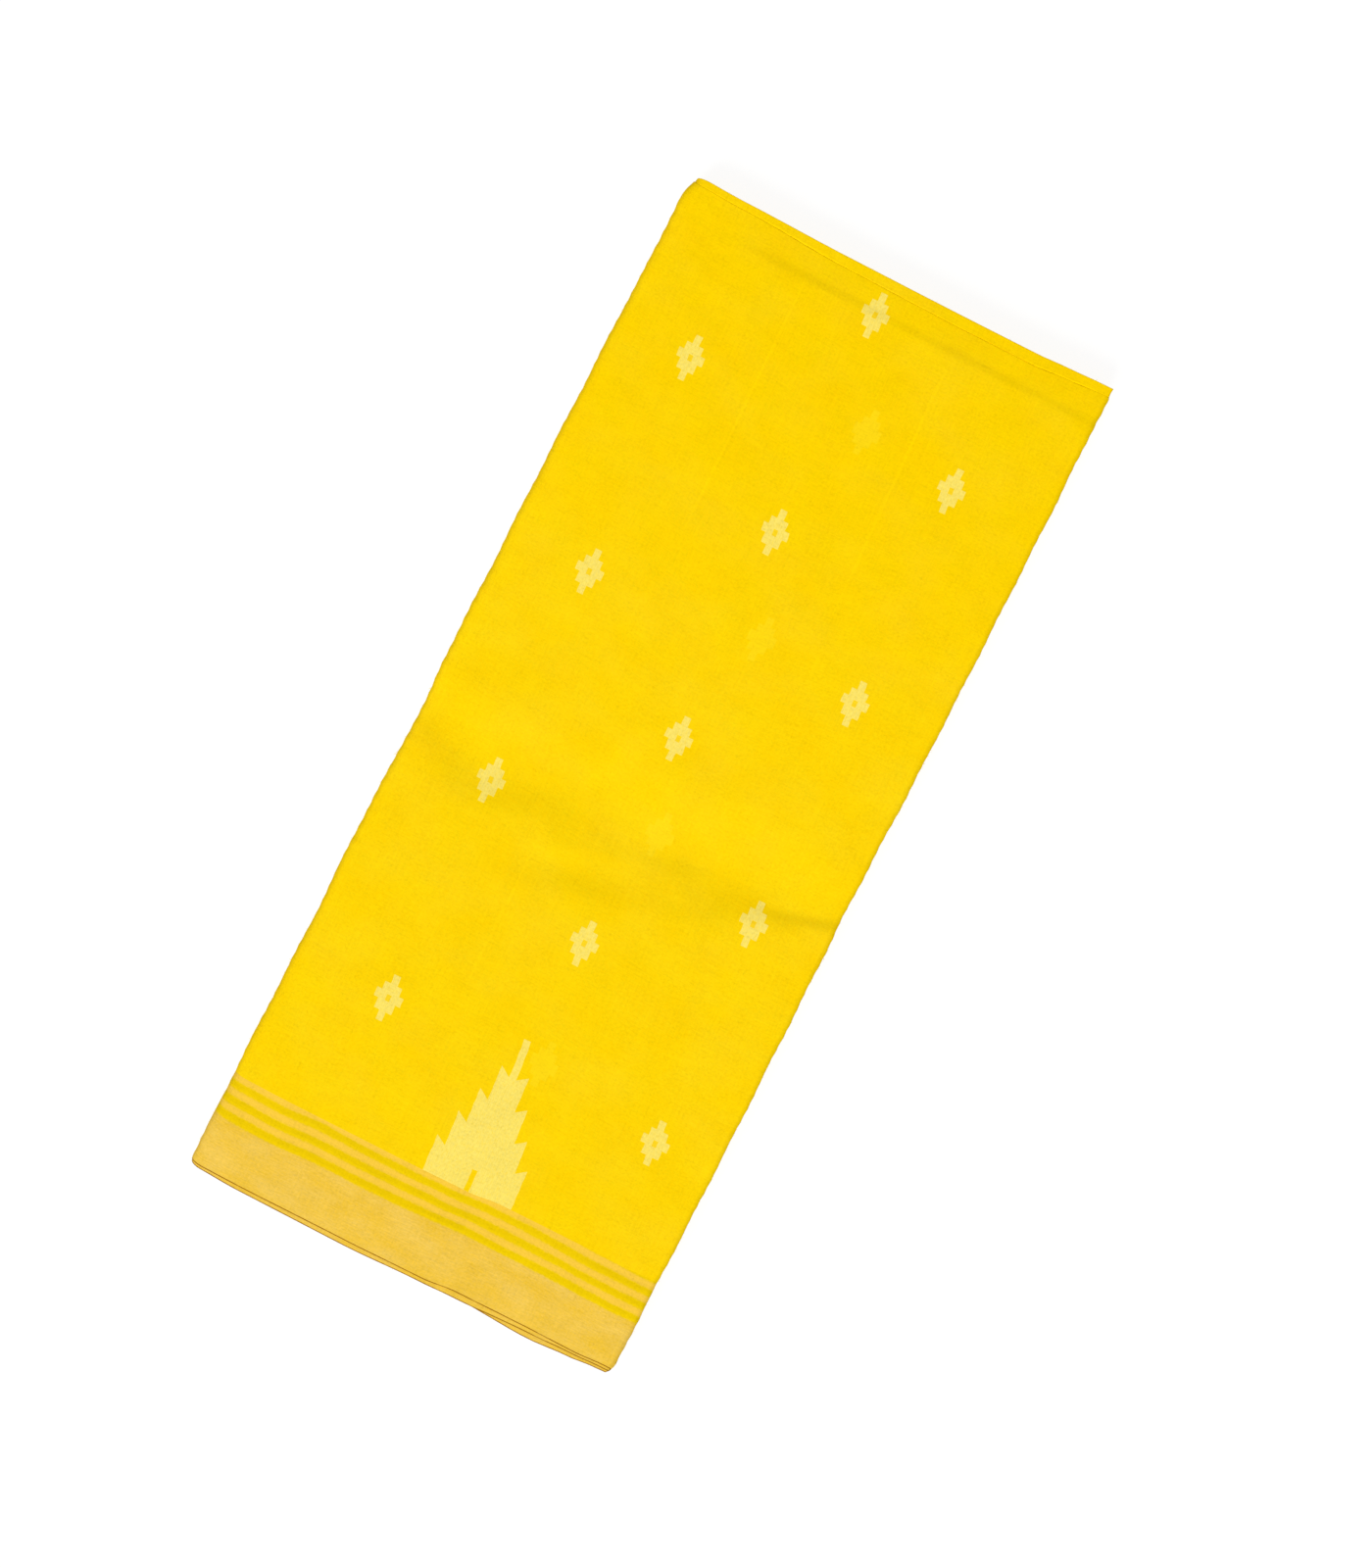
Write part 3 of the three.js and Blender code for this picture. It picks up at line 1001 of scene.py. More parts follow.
class Finish:
    """A material's nodes, built from noises, masks and mixes."""

    def __init__(self, name: str) -> None:
        """Starts a material with the standard surface shader."""
        self.material = bpy.data.materials.new(name)
        self.material.use_nodes = True
        self.tree = self.material.node_tree
        self.shader = self.tree.nodes["Principled BSDF"]
        split = self.node("ShaderNodeSeparateXYZ")
        self.feed(split.inputs[0], self.made("ShaderNodeUVMap", {}, uv_map="pattern"))
        self.warp, self.weft = (Signal(self, split.outputs[axis]) * MM_IN_METRE for axis in (0, 1))

    def node(self, kind: str, **settings: object) -> bpy.types.Node:
        """Adds a node with some settings.

        Args:
            kind: The node's type.
            **settings: Its settings by name.

        Returns:
            The node.
        """
        made = self.tree.nodes.new(kind)
        for key, value in settings.items():
            setattr(made, key, value)
        return made

    def feed(self, socket: bpy.types.NodeSocket, value: object) -> None:
        """Links a socket to a value over the cloth, or sets its constant."""
        if isinstance(value, Signal):
            self.tree.links.new(value.socket, socket)
        else:
            socket.default_value = value

    def made(
        self, kind: str, inputs: dict[int | str, object], output: int | str = 0, **settings: object
    ) -> Signal:
        """Adds a node with some inputs and settings, and gives one of its outputs.

        Args:
            kind: The node's type.
            inputs: What its inputs get, by name or number.
            output: The output's name or number.
            **settings: Its settings by name.

        Returns:
            The output.
        """
        made = self.node(kind, **settings)
        for key, value in inputs.items():
            self.feed(made.inputs[key], value)
        return Signal(self, made.outputs[output])

    def math(self, operation: str, *values: Value, clamped: bool = False) -> Signal:
        """Adds one sum."""
        return self.made("ShaderNodeMath", dict(enumerate(values)), operation=operation, use_clamp=clamped)

    def step(self, apart: Signal) -> Signal:
        """A mask that goes smoothly from 0 to 1 while a value goes from minus a half to a half."""
        inputs = {"Value": apart, "From Min": -0.5, "From Max": 0.5}
        return self.made("ShaderNodeMapRange", inputs, interpolation_type="SMOOTHSTEP")

    def largest(self, masks: Iterable[Signal]) -> Signal:
        """Joins masks: the largest of them."""
        return reduce(lambda a, b: self.math("MAXIMUM", a, b), masks)

    def smallest(self, distances: Iterable[Signal]) -> Signal:
        """The smallest of some distances."""
        return reduce(lambda a, b: self.math("MINIMUM", a, b), distances)

    def blend(self, share: Signal, a: Colour, b: Colour) -> Signal:
        """Mixes two colours.

        Args:
            share: How much there is of the second.
            a: The first colour.
            b: The second colour.

        Returns:
            The mix.
        """
        made = self.node("ShaderNodeMix", data_type="RGBA")
        self.feed(made.inputs["Factor"], share)
        for name, value in (("A", a), ("B", b)):
            socket = next(s for s in made.inputs if s.name == name and s.type == "RGBA")
            self.feed(socket, value if isinstance(value, Signal) else (*value, 1.0))
        return Signal(self, next(s for s in made.outputs if s.type == "RGBA"))

    def noise(self, grain: Grain) -> Signal:
        """Noise over the cloth, about a half.

        Args:
            grain: Its sizes and its strength.

        Returns:
            The noise.
        """
        place = {0: self.warp / grain.warp, 1: self.weft / grain.weft, 2: grain.shift}
        inputs = {"Vector": self.made("ShaderNodeCombineXYZ", place), "Scale": 1.0, "Detail": grain.detail}
        noise = self.made("ShaderNodeTexNoise", inputs)
        if grain.contrast == 1.0:
            return noise
        return self.math("MULTIPLY_ADD", noise, grain.contrast, (1.0 - grain.contrast) / 2, clamped=True)

    def ridged(self, height: Signal, depth: float) -> None:
        """Raises the surface by a height from 0 to 1 times a depth."""
        inputs = {"Height": height, "Distance": depth, "Strength": 1.0}
        self.feed(self.shader.inputs["Normal"], self.made("ShaderNodeBump", inputs))


@dataclass(frozen=True)
class Weave:
    """The cloth's threads: their spacing in millimetres, and how much their thick places show."""

    pitch: float = 0.42
    depth: float = 0.00004
    thread_share: float = 0.3
    thick_warps: Grain = Grain(9.0, 0.5)
    thick_wefts: Grain = Grain(0.5, 14.0, shift=7.0)
    clouds: Grain = Grain(30.0, 22.0, detail=3.0, shift=37.0, contrast=2.0)
    warm_grain: Grain = Grain(2.2, 1.7, detail=3.0, shift=41.0, contrast=2.4)
    warp_slubs: Grain = Grain(16.0, 0.7)
    weft_slubs: Grain = Grain(0.7, 22.0, shift=3.0)
    slub_light: float = 0.124
    blotches: Grain = Grain(28.0, 20.0, detail=3.0, shift=11.0)
    blotch_light: float = 0.048
    flecks: Grain = Grain(1.6, 1.3, detail=4.0, shift=17.0)
    fleck_patches: Grain = Grain(9.0, 6.0, shift=23.0)
    fleck_power: float = 3.0
    fleck_dark: float = 0.64
    fleck_lift: float = 0.056

    def height(self, finish: Finish) -> Signal:
        """A plain weave's height over the cloth, with thick and thin places."""
        turn = 2 * math.pi / self.pitch
        woven = finish.math("SINE", finish.warp * turn) * finish.math("SINE", finish.weft * turn)
        return woven * self.thread_share + (finish.noise(self.thick_warps) + finish.noise(self.thick_wefts))

    def warmth(self, finish: Finish) -> Signal:
        """How warm each place is, about a half: broad clouds and a fine grain."""
        return (finish.noise(self.clouds) + finish.noise(self.warm_grain)) * 0.5

    def lightness(self, finish: Finish) -> Signal:
        """How light each place is: thread streaks, soft blotches, dark flecks, and the painted highlight on
        pressed ridges and painted shade at the sides.

        Args:
            finish: The material.

        Returns:
            The lightness, about 1.
        """
        streaks = (finish.noise(self.warp_slubs) + finish.noise(self.weft_slubs) - 1.0) * self.slub_light
        blotches = finish.noise(self.blotches).sway(self.blotch_light)
        flecks = finish.math("POWER", finish.noise(self.flecks), self.fleck_power)
        flecks = flecks * finish.noise(self.fleck_patches) * -self.fleck_dark + self.fleck_lift
        # The painted highlight on the pressed ridges and the painted shade at the sides, read from the mesh.
        tone = finish.made("ShaderNodeAttribute", {}, "Fac", attribute_name="tone")
        return tone + (flecks + 1.0) + (streaks + blotches)


@dataclass(frozen=True)
class Cotton:
    """How the cotton takes the light."""

    roughness: float = 0.85
    specular: float = 0.02
    sheen: float = 0.03
    sheen_roughness: float = 0.5
    sheen_tint: tuple[float, float, float] = (1.0, 0.75, 0.1)

    def dress(self, finish: Finish, colour: Signal, lightness: Signal, light: float) -> None:
        """Sets the surface: a colour times its lightness, rough, with a faint warm sheen.

        Args:
            finish: The material.
            colour: The display colour that the cloth has in plain light.
            lightness: How light each place is, about 1.
            light: How bright white looks in the studio, which the colour is divided by.
        """
        scaling = {0: colour, "Scale": lightness / light}
        surface = {
            "Base Color": finish.made("ShaderNodeVectorMath", scaling, operation="SCALE"),
            "Roughness": self.roughness,
            "Specular IOR Level": self.specular,
            "Sheen Weight": self.sheen,
            "Sheen Roughness": self.sheen_roughness,
            "Sheen Tint": (*self.sheen_tint, 1.0),
        }
        for name, value in surface.items():
            finish.feed(finish.shader.inputs[name], value)


@dataclass(frozen=True)
class Bar:
    """One bar of the small woven motif: how far up it ends and half its width, in millimetres."""

    top: float
    half_width: float


@dataclass(frozen=True)
class Motif:
    """The small woven motif, charted as bars from its foot up."""

    bars: tuple[Bar, ...] = (Bar(5.2, 1.85), Bar(10.8, 5.1), Bar(15.7, 7.8), Bar(20.2, 5.0), Bar(25.4, 1.95))
    eye_half_width: float = 1.3
    eye_half_height: float = 1.8
    eye_depth: float = 0.9
    lean: float = 0.022
    widest: float = 10.0

    @property
    def height(self) -> float:
        """How tall the motif is."""
        return self.bars[-1].top

    def half_width(self, finish: Finish, up: Signal) -> Signal:
        """Half the motif's width at heights from its middle.

        Args:
            finish: The material.
            up: The height.

        Returns:
            Half the width in millimetres.
        """
        ramp = finish.node("ShaderNodeValToRGB")
        ramp.color_ramp.interpolation = "CONSTANT"
        finish.feed(ramp.inputs[0], (up + self.height / 2) / self.height)
        stops = ramp.color_ramp.elements
        stops.remove(stops[1])
        stops[0].position = 0.0
        for index, bar in enumerate(self.bars):
            if index:
                stops.new(self.bars[index - 1].top / self.height)
            stops[index].color = (bar.half_width / self.widest,) * 3 + (1.0,)
        return Signal(finish, ramp.outputs[0]) * self.widest

    def mask(self, finish: Finish, across: Signal, up: Signal, eyed: bool = True) -> Signal:
        """Draws the motif.

        Args:
            finish: The material.
            across: The distance from the motif's middle along the warp.
            up: The distance from its middle along the weft.
            eyed: Whether its middle is left open.

        Returns:
            The mask.
        """
        side, rise = abs(across + up * self.lean), abs(up)
        drawn = side.below(self.half_width(finish, up)) * rise.below(self.height / 2)
        if not eyed:
            return drawn
        eye = side.below(self.eye_half_width) * rise.below(self.eye_half_height) * self.eye_depth
        return drawn * (1.0 - eye)


@dataclass(frozen=True)
class Temple:
    """The stepped temple that stands on the border, in millimetres."""

    stem_half: float = 1.96
    stem_height: float = 83.6
    tier_width: float = 6.06
    first_valley: float = 61.7
    drop: float = 15.5
    tooth: float = 4.2
    half_width: float = 25.9
    notch_half: float = 1.45
    notch_height: float = 8.9
    base: float = 54.3
    lean: float = 0.0445
    skew: float = 0.05

    def mask(self, finish: Finish, across: Signal) -> Signal:
        """Draws the temple, given the distance from its column along the warp.

        Args:
            finish: The material.
            across: The distance.

        Returns:
            The mask.
        """
        up = finish.weft - self.base
        across = across + up * self.lean
        up = up - across * self.skew
        side = abs(across)
        tier = (side - self.stem_half) / self.tier_width
        valley = self.first_valley - finish.math("FLOOR", tier) * self.drop
        outline = valley + finish.math("FRACT", tier) * self.tooth
        tiers = up.below(outline) * side.below(self.half_width)
        tiers = tiers * finish.math("GREATER_THAN", side, self.stem_half)
        stem = side.below(self.stem_half) * up.below(self.stem_height)
        notch = side.below(self.notch_half) * up.below(self.notch_height)
        return finish.largest((tiers, stem)) * (1.0 - notch)


@dataclass(frozen=True)
class Repeat:
    """Where the motifs stand: columns along the warp, and rows from the selvedge, in millimetres.

    Every other column starts with a temple. Ghosts are motifs of the leaf below that show through.
    """

    pitch: float = 162.4
    odd_shift: float = 83.3
    even_row: float = 123.9
    even_step: float = 125.7
    even_start: float = 90.0
    odd_row: float = 197.6
    odd_step: float = 123.0
    odd_start: float = 160.0
    temple_shift: float = -1.8
    turn_shift: float = 9.0
    turn_at: float = -40.0
    turn_soft: float = 30.0
    last: float = 592.0
    ghost_column: float = 85.3
    ghost_lean: float = 0.041
    ghost_rows: tuple[float, ...] = (131.0, 269.0, 388.5, 510.5)
    motif: Motif = Motif()
    temple: Temple = Temple()

    def drawn(self, finish: Finish, column: Signal) -> Signal:
        """Draws the motifs and the temples, given the distance from the first column along the warp.

        Args:
            finish: The material.
            column: The distance.

        Returns:
            The mask.
        """
        weft = finish.weft
        set_back = column.below(self.turn_at, soft=self.turn_soft) * self.turn_shift
        even, odd = column.wrap(self.pitch), (column - self.odd_shift + set_back).wrap(self.pitch)
        evens = self.motif.mask(finish, even, (weft - self.even_row).wrap(self.even_step))
        odds = self.motif.mask(finish, odd, (weft - self.odd_row).wrap(self.odd_step))
        temples = self.temple.mask(finish, odd - self.temple_shift)
        shown = (evens * weft.above(self.even_start), odds * weft.above(self.odd_start), temples)
        return finish.largest(shown) * weft.below(self.last)

    def ghosts(self, finish: Finish, column: Signal) -> Signal:
        """Draws the motifs that show through, likewise."""
        under = column - self.ghost_column - finish.weft * self.ghost_lean
        apart = finish.smallest(abs(finish.weft - row) for row in self.ghost_rows)
        return self.motif.mask(finish, under, apart, eyed=False)


@dataclass(frozen=True)
class FieldFinish:
    """The yellow field with its pale woven motifs."""

    ground: tuple[float, float, float] = linear(252, 216, 8)
    upper: tuple[float, float, float] = linear(250, 213, 0)
    upper_from: float = 410.0
    upper_soft: float = 160.0
    warm: tuple[float, float, float] = linear(252, 205, 0)
    motif: tuple[float, float, float] = linear(250, 227, 108)
    motif_rise: float = 0.6
    ghost: tuple[float, float, float] = linear(254, 221, 26)
    ghost_share: float = 0.45
    wander: Grain = Grain(30.0, 6.0, shift=5.0)
    wander_reach: float = 0.5
    twill_pitch: float = 1.3
    twill_mean: float = 0.88
    twill_light: float = 0.14
    fill: Grain = Grain(0.9, 2.4, detail=3.0, shift=9.0, contrast=1.8)
    fill_light: float = 0.36
    fuzz: Grain = Grain(2.2, 1.4, detail=4.0, shift=31.0)
    fuzz_patches: Grain = Grain(40.0, 30.0, shift=29.0, contrast=2.0)
    fuzz_bare: float = 0.35
    fuzz_light: float = 0.07
    speckle: Grain = Grain(1.1, 1.6, shift=43.0, contrast=2.2)
    speckle_light: float = 0.05
    repeat: Repeat = Repeat()

    def material(self, first_column: float, light: float) -> bpy.types.Material:
        """Makes the field's material.

        Args:
            first_column: The first motif column's place along the warp, in millimetres.
            light: How bright white looks in the studio.

        Returns:
            The material.
        """
        finish, weave = Finish("field_cloth"), Weave()
        column = finish.warp - first_column + finish.noise(self.wander).sway(self.wander_reach)
        drawn = self.repeat.drawn(finish, column)
        colour = finish.blend(drawn * self.filling(finish), self.dyed(finish, weave, column), self.motif)
        speckle = finish.noise(self.speckle).sway(self.speckle_light)
        Cotton().dress(finish, colour, weave.lightness(finish) + speckle * drawn, light)
        finish.ridged(weave.height(finish) + drawn * self.motif_rise, weave.depth)
        return finish.material

    def filling(self, finish: Finish) -> Signal:
        """How fully the motifs' pale thread covers the ground: fine twill lines, and uneven."""
        turn = 2 * math.pi / self.twill_pitch
        lines = finish.math("SINE", (finish.warp + finish.weft) * turn) * self.twill_light + self.twill_mean
        return lines + finish.noise(self.fill).sway(self.fill_light)

    def dyed(self, finish: Finish, weave: Weave, column: Signal) -> Signal:
        """The ground's colour, with its warmer clouds, the motifs that show through, and pale fuzz.

        Args:
            finish: The material.
            weave: The cloth's threads.
            column: The distance from the first column along the warp.

        Returns:
            The colour.
        """
        higher = finish.weft.above(self.upper_from, soft=self.upper_soft)
        colour = finish.blend(higher, self.ground, self.upper)
        colour = finish.blend(weave.warmth(finish), colour, self.warm)
        colour = finish.blend(self.repeat.ghosts(finish, column) * self.ghost_share, colour, self.ghost)
        patches = finish.noise(self.fuzz_patches) - self.fuzz_bare
        hairy = finish.math("MAXIMUM", patches, 0.0) * self.fuzz_light
        return finish.blend(finish.noise(self.fuzz) * hairy, colour, self.motif)


@dataclass(frozen=True)
class BorderFinish:
    """The border: a broad gold band along the selvedge and three narrow gold stripes, in millimetres."""

    ground: tuple[float, float, float] = linear(243, 208, 4)
    warm: tuple[float, float, float] = linear(243, 201, 2)
    gold_deep: tuple[float, float, float] = linear(239, 195, 50)
    gold_pale: tuple[float, float, float] = linear(242, 204, 92)
    stripe: tuple[float, float, float] = linear(249, 205, 66)
    # The dark brown line at the cut selvedge: painted shade in the gaps between the plies there, on a darker
    # selvedge thread, patchy along its length.
    edge: tuple[float, float, float] = linear(160, 110, 16)
    edge_width: float = 0.5
    edge_least: float = 0.6
    edge_line_patches: Grain = Grain(10.0, 4.0, shift=25.0, contrast=2.4)
    band_width: float = 28.7
    stripes: tuple[float, ...] = (35.0, 42.9, 50.7)
    stripe_half: float = 1.75
    stripe_soft: float = 1.4
    sways: tuple[tuple[Grain, float], ...] = (
        (Grain(70.0, 30.0, shift=2.0), 1.8),
        (Grain(18.0, 8.0, shift=8.0), 0.6),
        (Grain(1.8, 1.2, detail=3.0, shift=6.0), 0.8),
    )
    threads: Grain = Grain(7.0, 0.7, detail=3.0, shift=4.0)
    thread_light: float = 0.14
    grain: Grain = Grain(1.1, 0.9, shift=15.0)
    grain_light: float = 0.07
    pale_clouds: Grain = Grain(26.0, 12.0, detail=3.0, shift=13.0, contrast=3.2)
    pale_grain: Grain = Grain(1.6, 1.0, shift=19.0, contrast=3.0)
    cloud_share: float = 0.6
    # Painted shade: a faint darker line just below each stripe, as if the raised stripe shaded the ground
    # beside it, patchy along its length.
    under_gap: float = 1.2
    under_shade: float = 0.12
    under_shade_patches: Grain = Grain(60.0, 30.0, shift=21.0)
    metallic: float = 0.12

    def material(self, light: float) -> bpy.types.Material:
        """Makes the border's material, for a studio in which white looks as bright as light.

        Args:
            light: How bright white looks in the studio.

        Returns:
            The material.
        """
        finish, weave = Finish("border_cloth"), Weave()
        place = finish.weft
        for grain, reach in self.sways:
            place = place + finish.noise(grain).sway(reach)
        stripes = finish.largest(self.stripe_mask(place, at) for at in self.stripes)
        band = place.below(self.band_width, self.stripe_soft)
        colour = finish.blend(weave.warmth(finish), self.ground, self.warm)
        colour = finish.blend(stripes, colour, self.stripe)
        colour = finish.blend(band, colour, self.gold(finish))
        # Paints the dark selvedge line: painted shade between the plies together with the darker selvedge
        # thread.
        edge_shade_and_thread = finish.weft.below(self.edge_width) * (finish.noise(self.edge_line_patches) + self.edge_least)
        colour = finish.blend(edge_shade_and_thread, colour, self.edge)
        grain = finish.noise(self.threads).sway(self.thread_light)
        grain = grain + finish.noise(self.grain).sway(self.grain_light)
        # Painted shade along the lower side of each stripe.
        lower = [at - self.stripe_half - self.under_gap for at in self.stripes]
        under = finish.largest(self.stripe_mask(place, at) for at in lower)
        lines = under * (finish.noise(self.under_shade_patches) * self.under_shade)
        Cotton().dress(finish, colour, weave.lightness(finish) + grain * band - lines, light)
        drawn = finish.largest((stripes, band))
        finish.feed(finish.shader.inputs["Metallic"], drawn * self.metallic)
        finish.ridged(weave.height(finish) + drawn, weave.depth)
        return finish.material

    def gold(self, finish: Finish) -> Signal:
        """The band's colour, which goes between a deep and a pale gold in clouds and a fine grain."""
        clouds = finish.noise(self.pale_clouds) * self.cloud_share
        pale = clouds + finish.noise(self.pale_grain) * (1.0 - self.cloud_share)
        return finish.blend(pale, self.gold_deep, self.gold_pale)

    def stripe_mask(self, place: Signal, at: float) -> Signal:
        """Draws one narrow stripe."""
        return abs(place - at).below(self.stripe_half, self.stripe_soft)


@dataclass(frozen=True)
class Studio:
    """A plain white floor, soft light from all round, and one broad light from beyond the selvedges."""

    white: float = 1.045
    paper: float = 0.18
    paper_glow: float = 0.871
    paper_roughness: float = 0.9
    world_share: float = 0.56
    lamp_share: float = 0.50
    lamp_height: float = math.radians(35)
    lamp_bearing: float = math.radians(-6)
    lamp_width: float = math.radians(40)
    camera_place: tuple[float, float] = (18.9 * MM, 5.6 * MM)
    camera_turn: float = math.radians(27.2)
    floor_half: float = 60.0
    lens: float = 100.0
    sensor: float = 36.0
    view_length: float = 0.8362

    def build(self, top: float) -> None:
        """Sets up the floor, the light and the camera, which looks straight down on the top of the bundle.

        Args:
            top: How high the top of the bundle lies.
        """
        scene = bpy.context.scene
        scene.view_settings.view_transform = "Standard"
        scene.view_settings.look = "None"
        self.floor()
        self.world()
        self.lamp()
        camera = bpy.data.cameras.new("camera")
        camera.lens = self.lens
        camera.sensor_width = self.sensor
        placed = bpy.data.objects.new("camera", camera)
        away = self.view_length / self.sensor * self.lens
        placed.location = (*self.camera_place, top + away)
        placed.rotation_euler = (0.0, 0.0, self.camera_turn)
        scene.collection.objects.link(placed)
        scene.camera = placed

    def floor(self) -> None:
        """Lays a broad white floor under the bundle."""
        work = bmesh.new()
        bmesh.ops.create_grid(work, x_segments=1, y_segments=1, size=self.floor_half)
        paper = bpy.data.materials.new("paper")
        paper.use_nodes = True
        shader = paper.node_tree.nodes["Principled BSDF"]
        shader.inputs["Base Color"].default_value = (self.paper, self.paper, self.paper, 1.0)
        shader.inputs["Emission Color"].default_value = (1.0, 1.0, 1.0, 1.0)
        shader.inputs["Emission Strength"].default_value = self.paper_glow
        shader.inputs["Roughness"].default_value = self.paper_roughness
        shader.inputs["Specular IOR Level"].default_value = 0.0
        floor = place_in_scene("floor", work, paper)
        floor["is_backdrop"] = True

    def world(self) -> None:
        """Surrounds the scene with even white light."""
        world = bpy.data.worlds.new("studio")
        world.use_nodes = True
        background = world.node_tree.nodes["Background"]
        background.inputs["Color"].default_value = (1.0, 1.0, 1.0, 1.0)
        background.inputs["Strength"].default_value = self.world_share
        bpy.context.scene.world = world

    def lamp(self) -> None:
        """Sets the broad far light beyond the selvedges, turned to the bundle."""
        light = bpy.data.lights.new("soft_light", "SUN")
        light.angle = self.lamp_width
        light.energy = self.lamp_share * math.pi / math.sin(self.lamp_height)
        placed = bpy.data.objects.new("soft_light", light)
        level, up = math.cos(self.lamp_height), math.sin(self.lamp_height)
        towards = Vector((level * math.sin(self.lamp_bearing), -level * math.cos(self.lamp_bearing), up))
        placed.location = towards
        placed.rotation_euler = towards.to_track_quat("Z", "Y").to_euler()
        bpy.context.scene.collection.objects.link(placed)


@dataclass(frozen=True)
class EdgeFuzz:
    """The fine fibres that stand out all round the edges of the folded leaves."""

    side_count: int = 1900
    end_count: int = 800
    radius: float = 0.045 * MM
    taper: float = 0.35
    sunk: float = 0.2 * MM
    shortest: float = 0.45 * MM
    longest: float = 1.6 * MM
    spread: float = 0.8
    lowest: float = 1.0 * MM
    spine_angle: float = math.radians(65)
    reach: float = 0.98
    corner_room: float = 3.0 * MM
    tuft: int = 60
    seed: int = 11

    def grow(self, work: bmesh.types.BMesh, stack: FoldedStack) -> None:
        """Draws the fibres along the left side, the right side and the two ends.

        Args:
            work: The mesh that they are added to.
            stack: Where the leaves lie.
        """
        draw = np.random.default_rng(self.seed)
        bundle = stack.bundle
        fibres = []
        for _ in range(self.side_count):
            y = np.full(1, draw.uniform(-self.reach, self.reach) * bundle.half_length)
            angle = draw.uniform(-1.0, 1.0) * self.spine_angle
            tall = bundle.top_height(np.full(1, bundle.seam), y)[0] / 2
            wide = bundle.spine_reach - bundle.spine_inset(y)[0]
            root = Vector((bundle.seam - wide * math.cos(angle), y[0], tall * (1.0 + math.sin(angle))))
            fibres.append(self.fibre(draw, root, Vector((-math.cos(angle), 0.0, math.sin(angle)))))
        for _ in range(self.side_count):
            y = np.full(1, draw.uniform(-self.reach, self.reach) * bundle.half_length)
            level = int(draw.integers(1, stack.LEVELS + 1))
            x = stack.right_edge(level, y)
            root = Vector((x[0], y[0], stack.height(level, x, y)[0]))
            fibres.append(self.fibre(draw, root, Vector((1.0, 0.0, 0.0))))
        for end in (1.0, -1.0):
            for _ in range(self.end_count):
                x = np.full(1, draw.uniform(bundle.seam, bundle.half_width - self.corner_room))
                level = int(draw.integers(1, stack.LEVELS + 1))
                if end > 0:
                    y = stack.fold_edge(level, x)
                else:
                    y = stack.selvedges(level, x)[int(draw.integers(0, 2))]
                root = Vector((x[0], y[0], stack.height(level, x, y)[0]))
                fibres.append(self.fibre(draw, root, Vector((0.0, end, 0.0))))
        fibres = [(length, place) for length, place in fibres if place.translation.z > self.lowest]
        for first in range(0, len(fibres), self.tuft):
            self.draw_tuft(work, fibres[first : first + self.tuft])

    def fibre(self, draw: np.random.Generator, root: Vector, outward: Vector) -> tuple[float, Matrix]:
        """Draws one fibre's length and lean.

        Args:
            draw: Where they are drawn from.
            root: Where it leaves the cloth.
            outward: The way out of the cloth.

        Returns:
            Its length, and the place of its middle turned along it.
        """
        length = draw.uniform(self.shortest, self.longest)
        way = (outward + Vector(draw.uniform(-self.spread, self.spread, 3))).normalized()
        middle = root + way * (length / 2 - self.sunk)
        return length, Matrix.Translation(middle) @ way.to_track_quat("Z", "Y").to_matrix().to_4x4()

    def draw_tuft(self, work: bmesh.types.BMesh, fibres: Sequence[tuple[float, Matrix]]) -> None:
        """Makes a few fibres in a mesh of their own, which is quicker, and adds it to the work.

        Args:
            work: The mesh that they are added to.
            fibres: Each fibre's length and place.
        """
        tuft = bmesh.new()
        for length, place in fibres:
            bmesh.ops.create_cone(
                tuft, cap_ends=False, segments=3, radius1=self.radius, radius2=self.radius * self.taper,
                depth=length, matrix=place,
            )
        kept = bpy.data.meshes.new("tuft")
        tuft.to_mesh(kept)
        tuft.free()
        work.from_mesh(kept)
        bpy.data.meshes.remove(kept)


@dataclass(frozen=True)
class ThreadEnd:
    """One loose thread end: where it leaves a side, how far it reaches out and along, and how high."""

    y: float
    side: float
    out: float
    along: float
    z: float


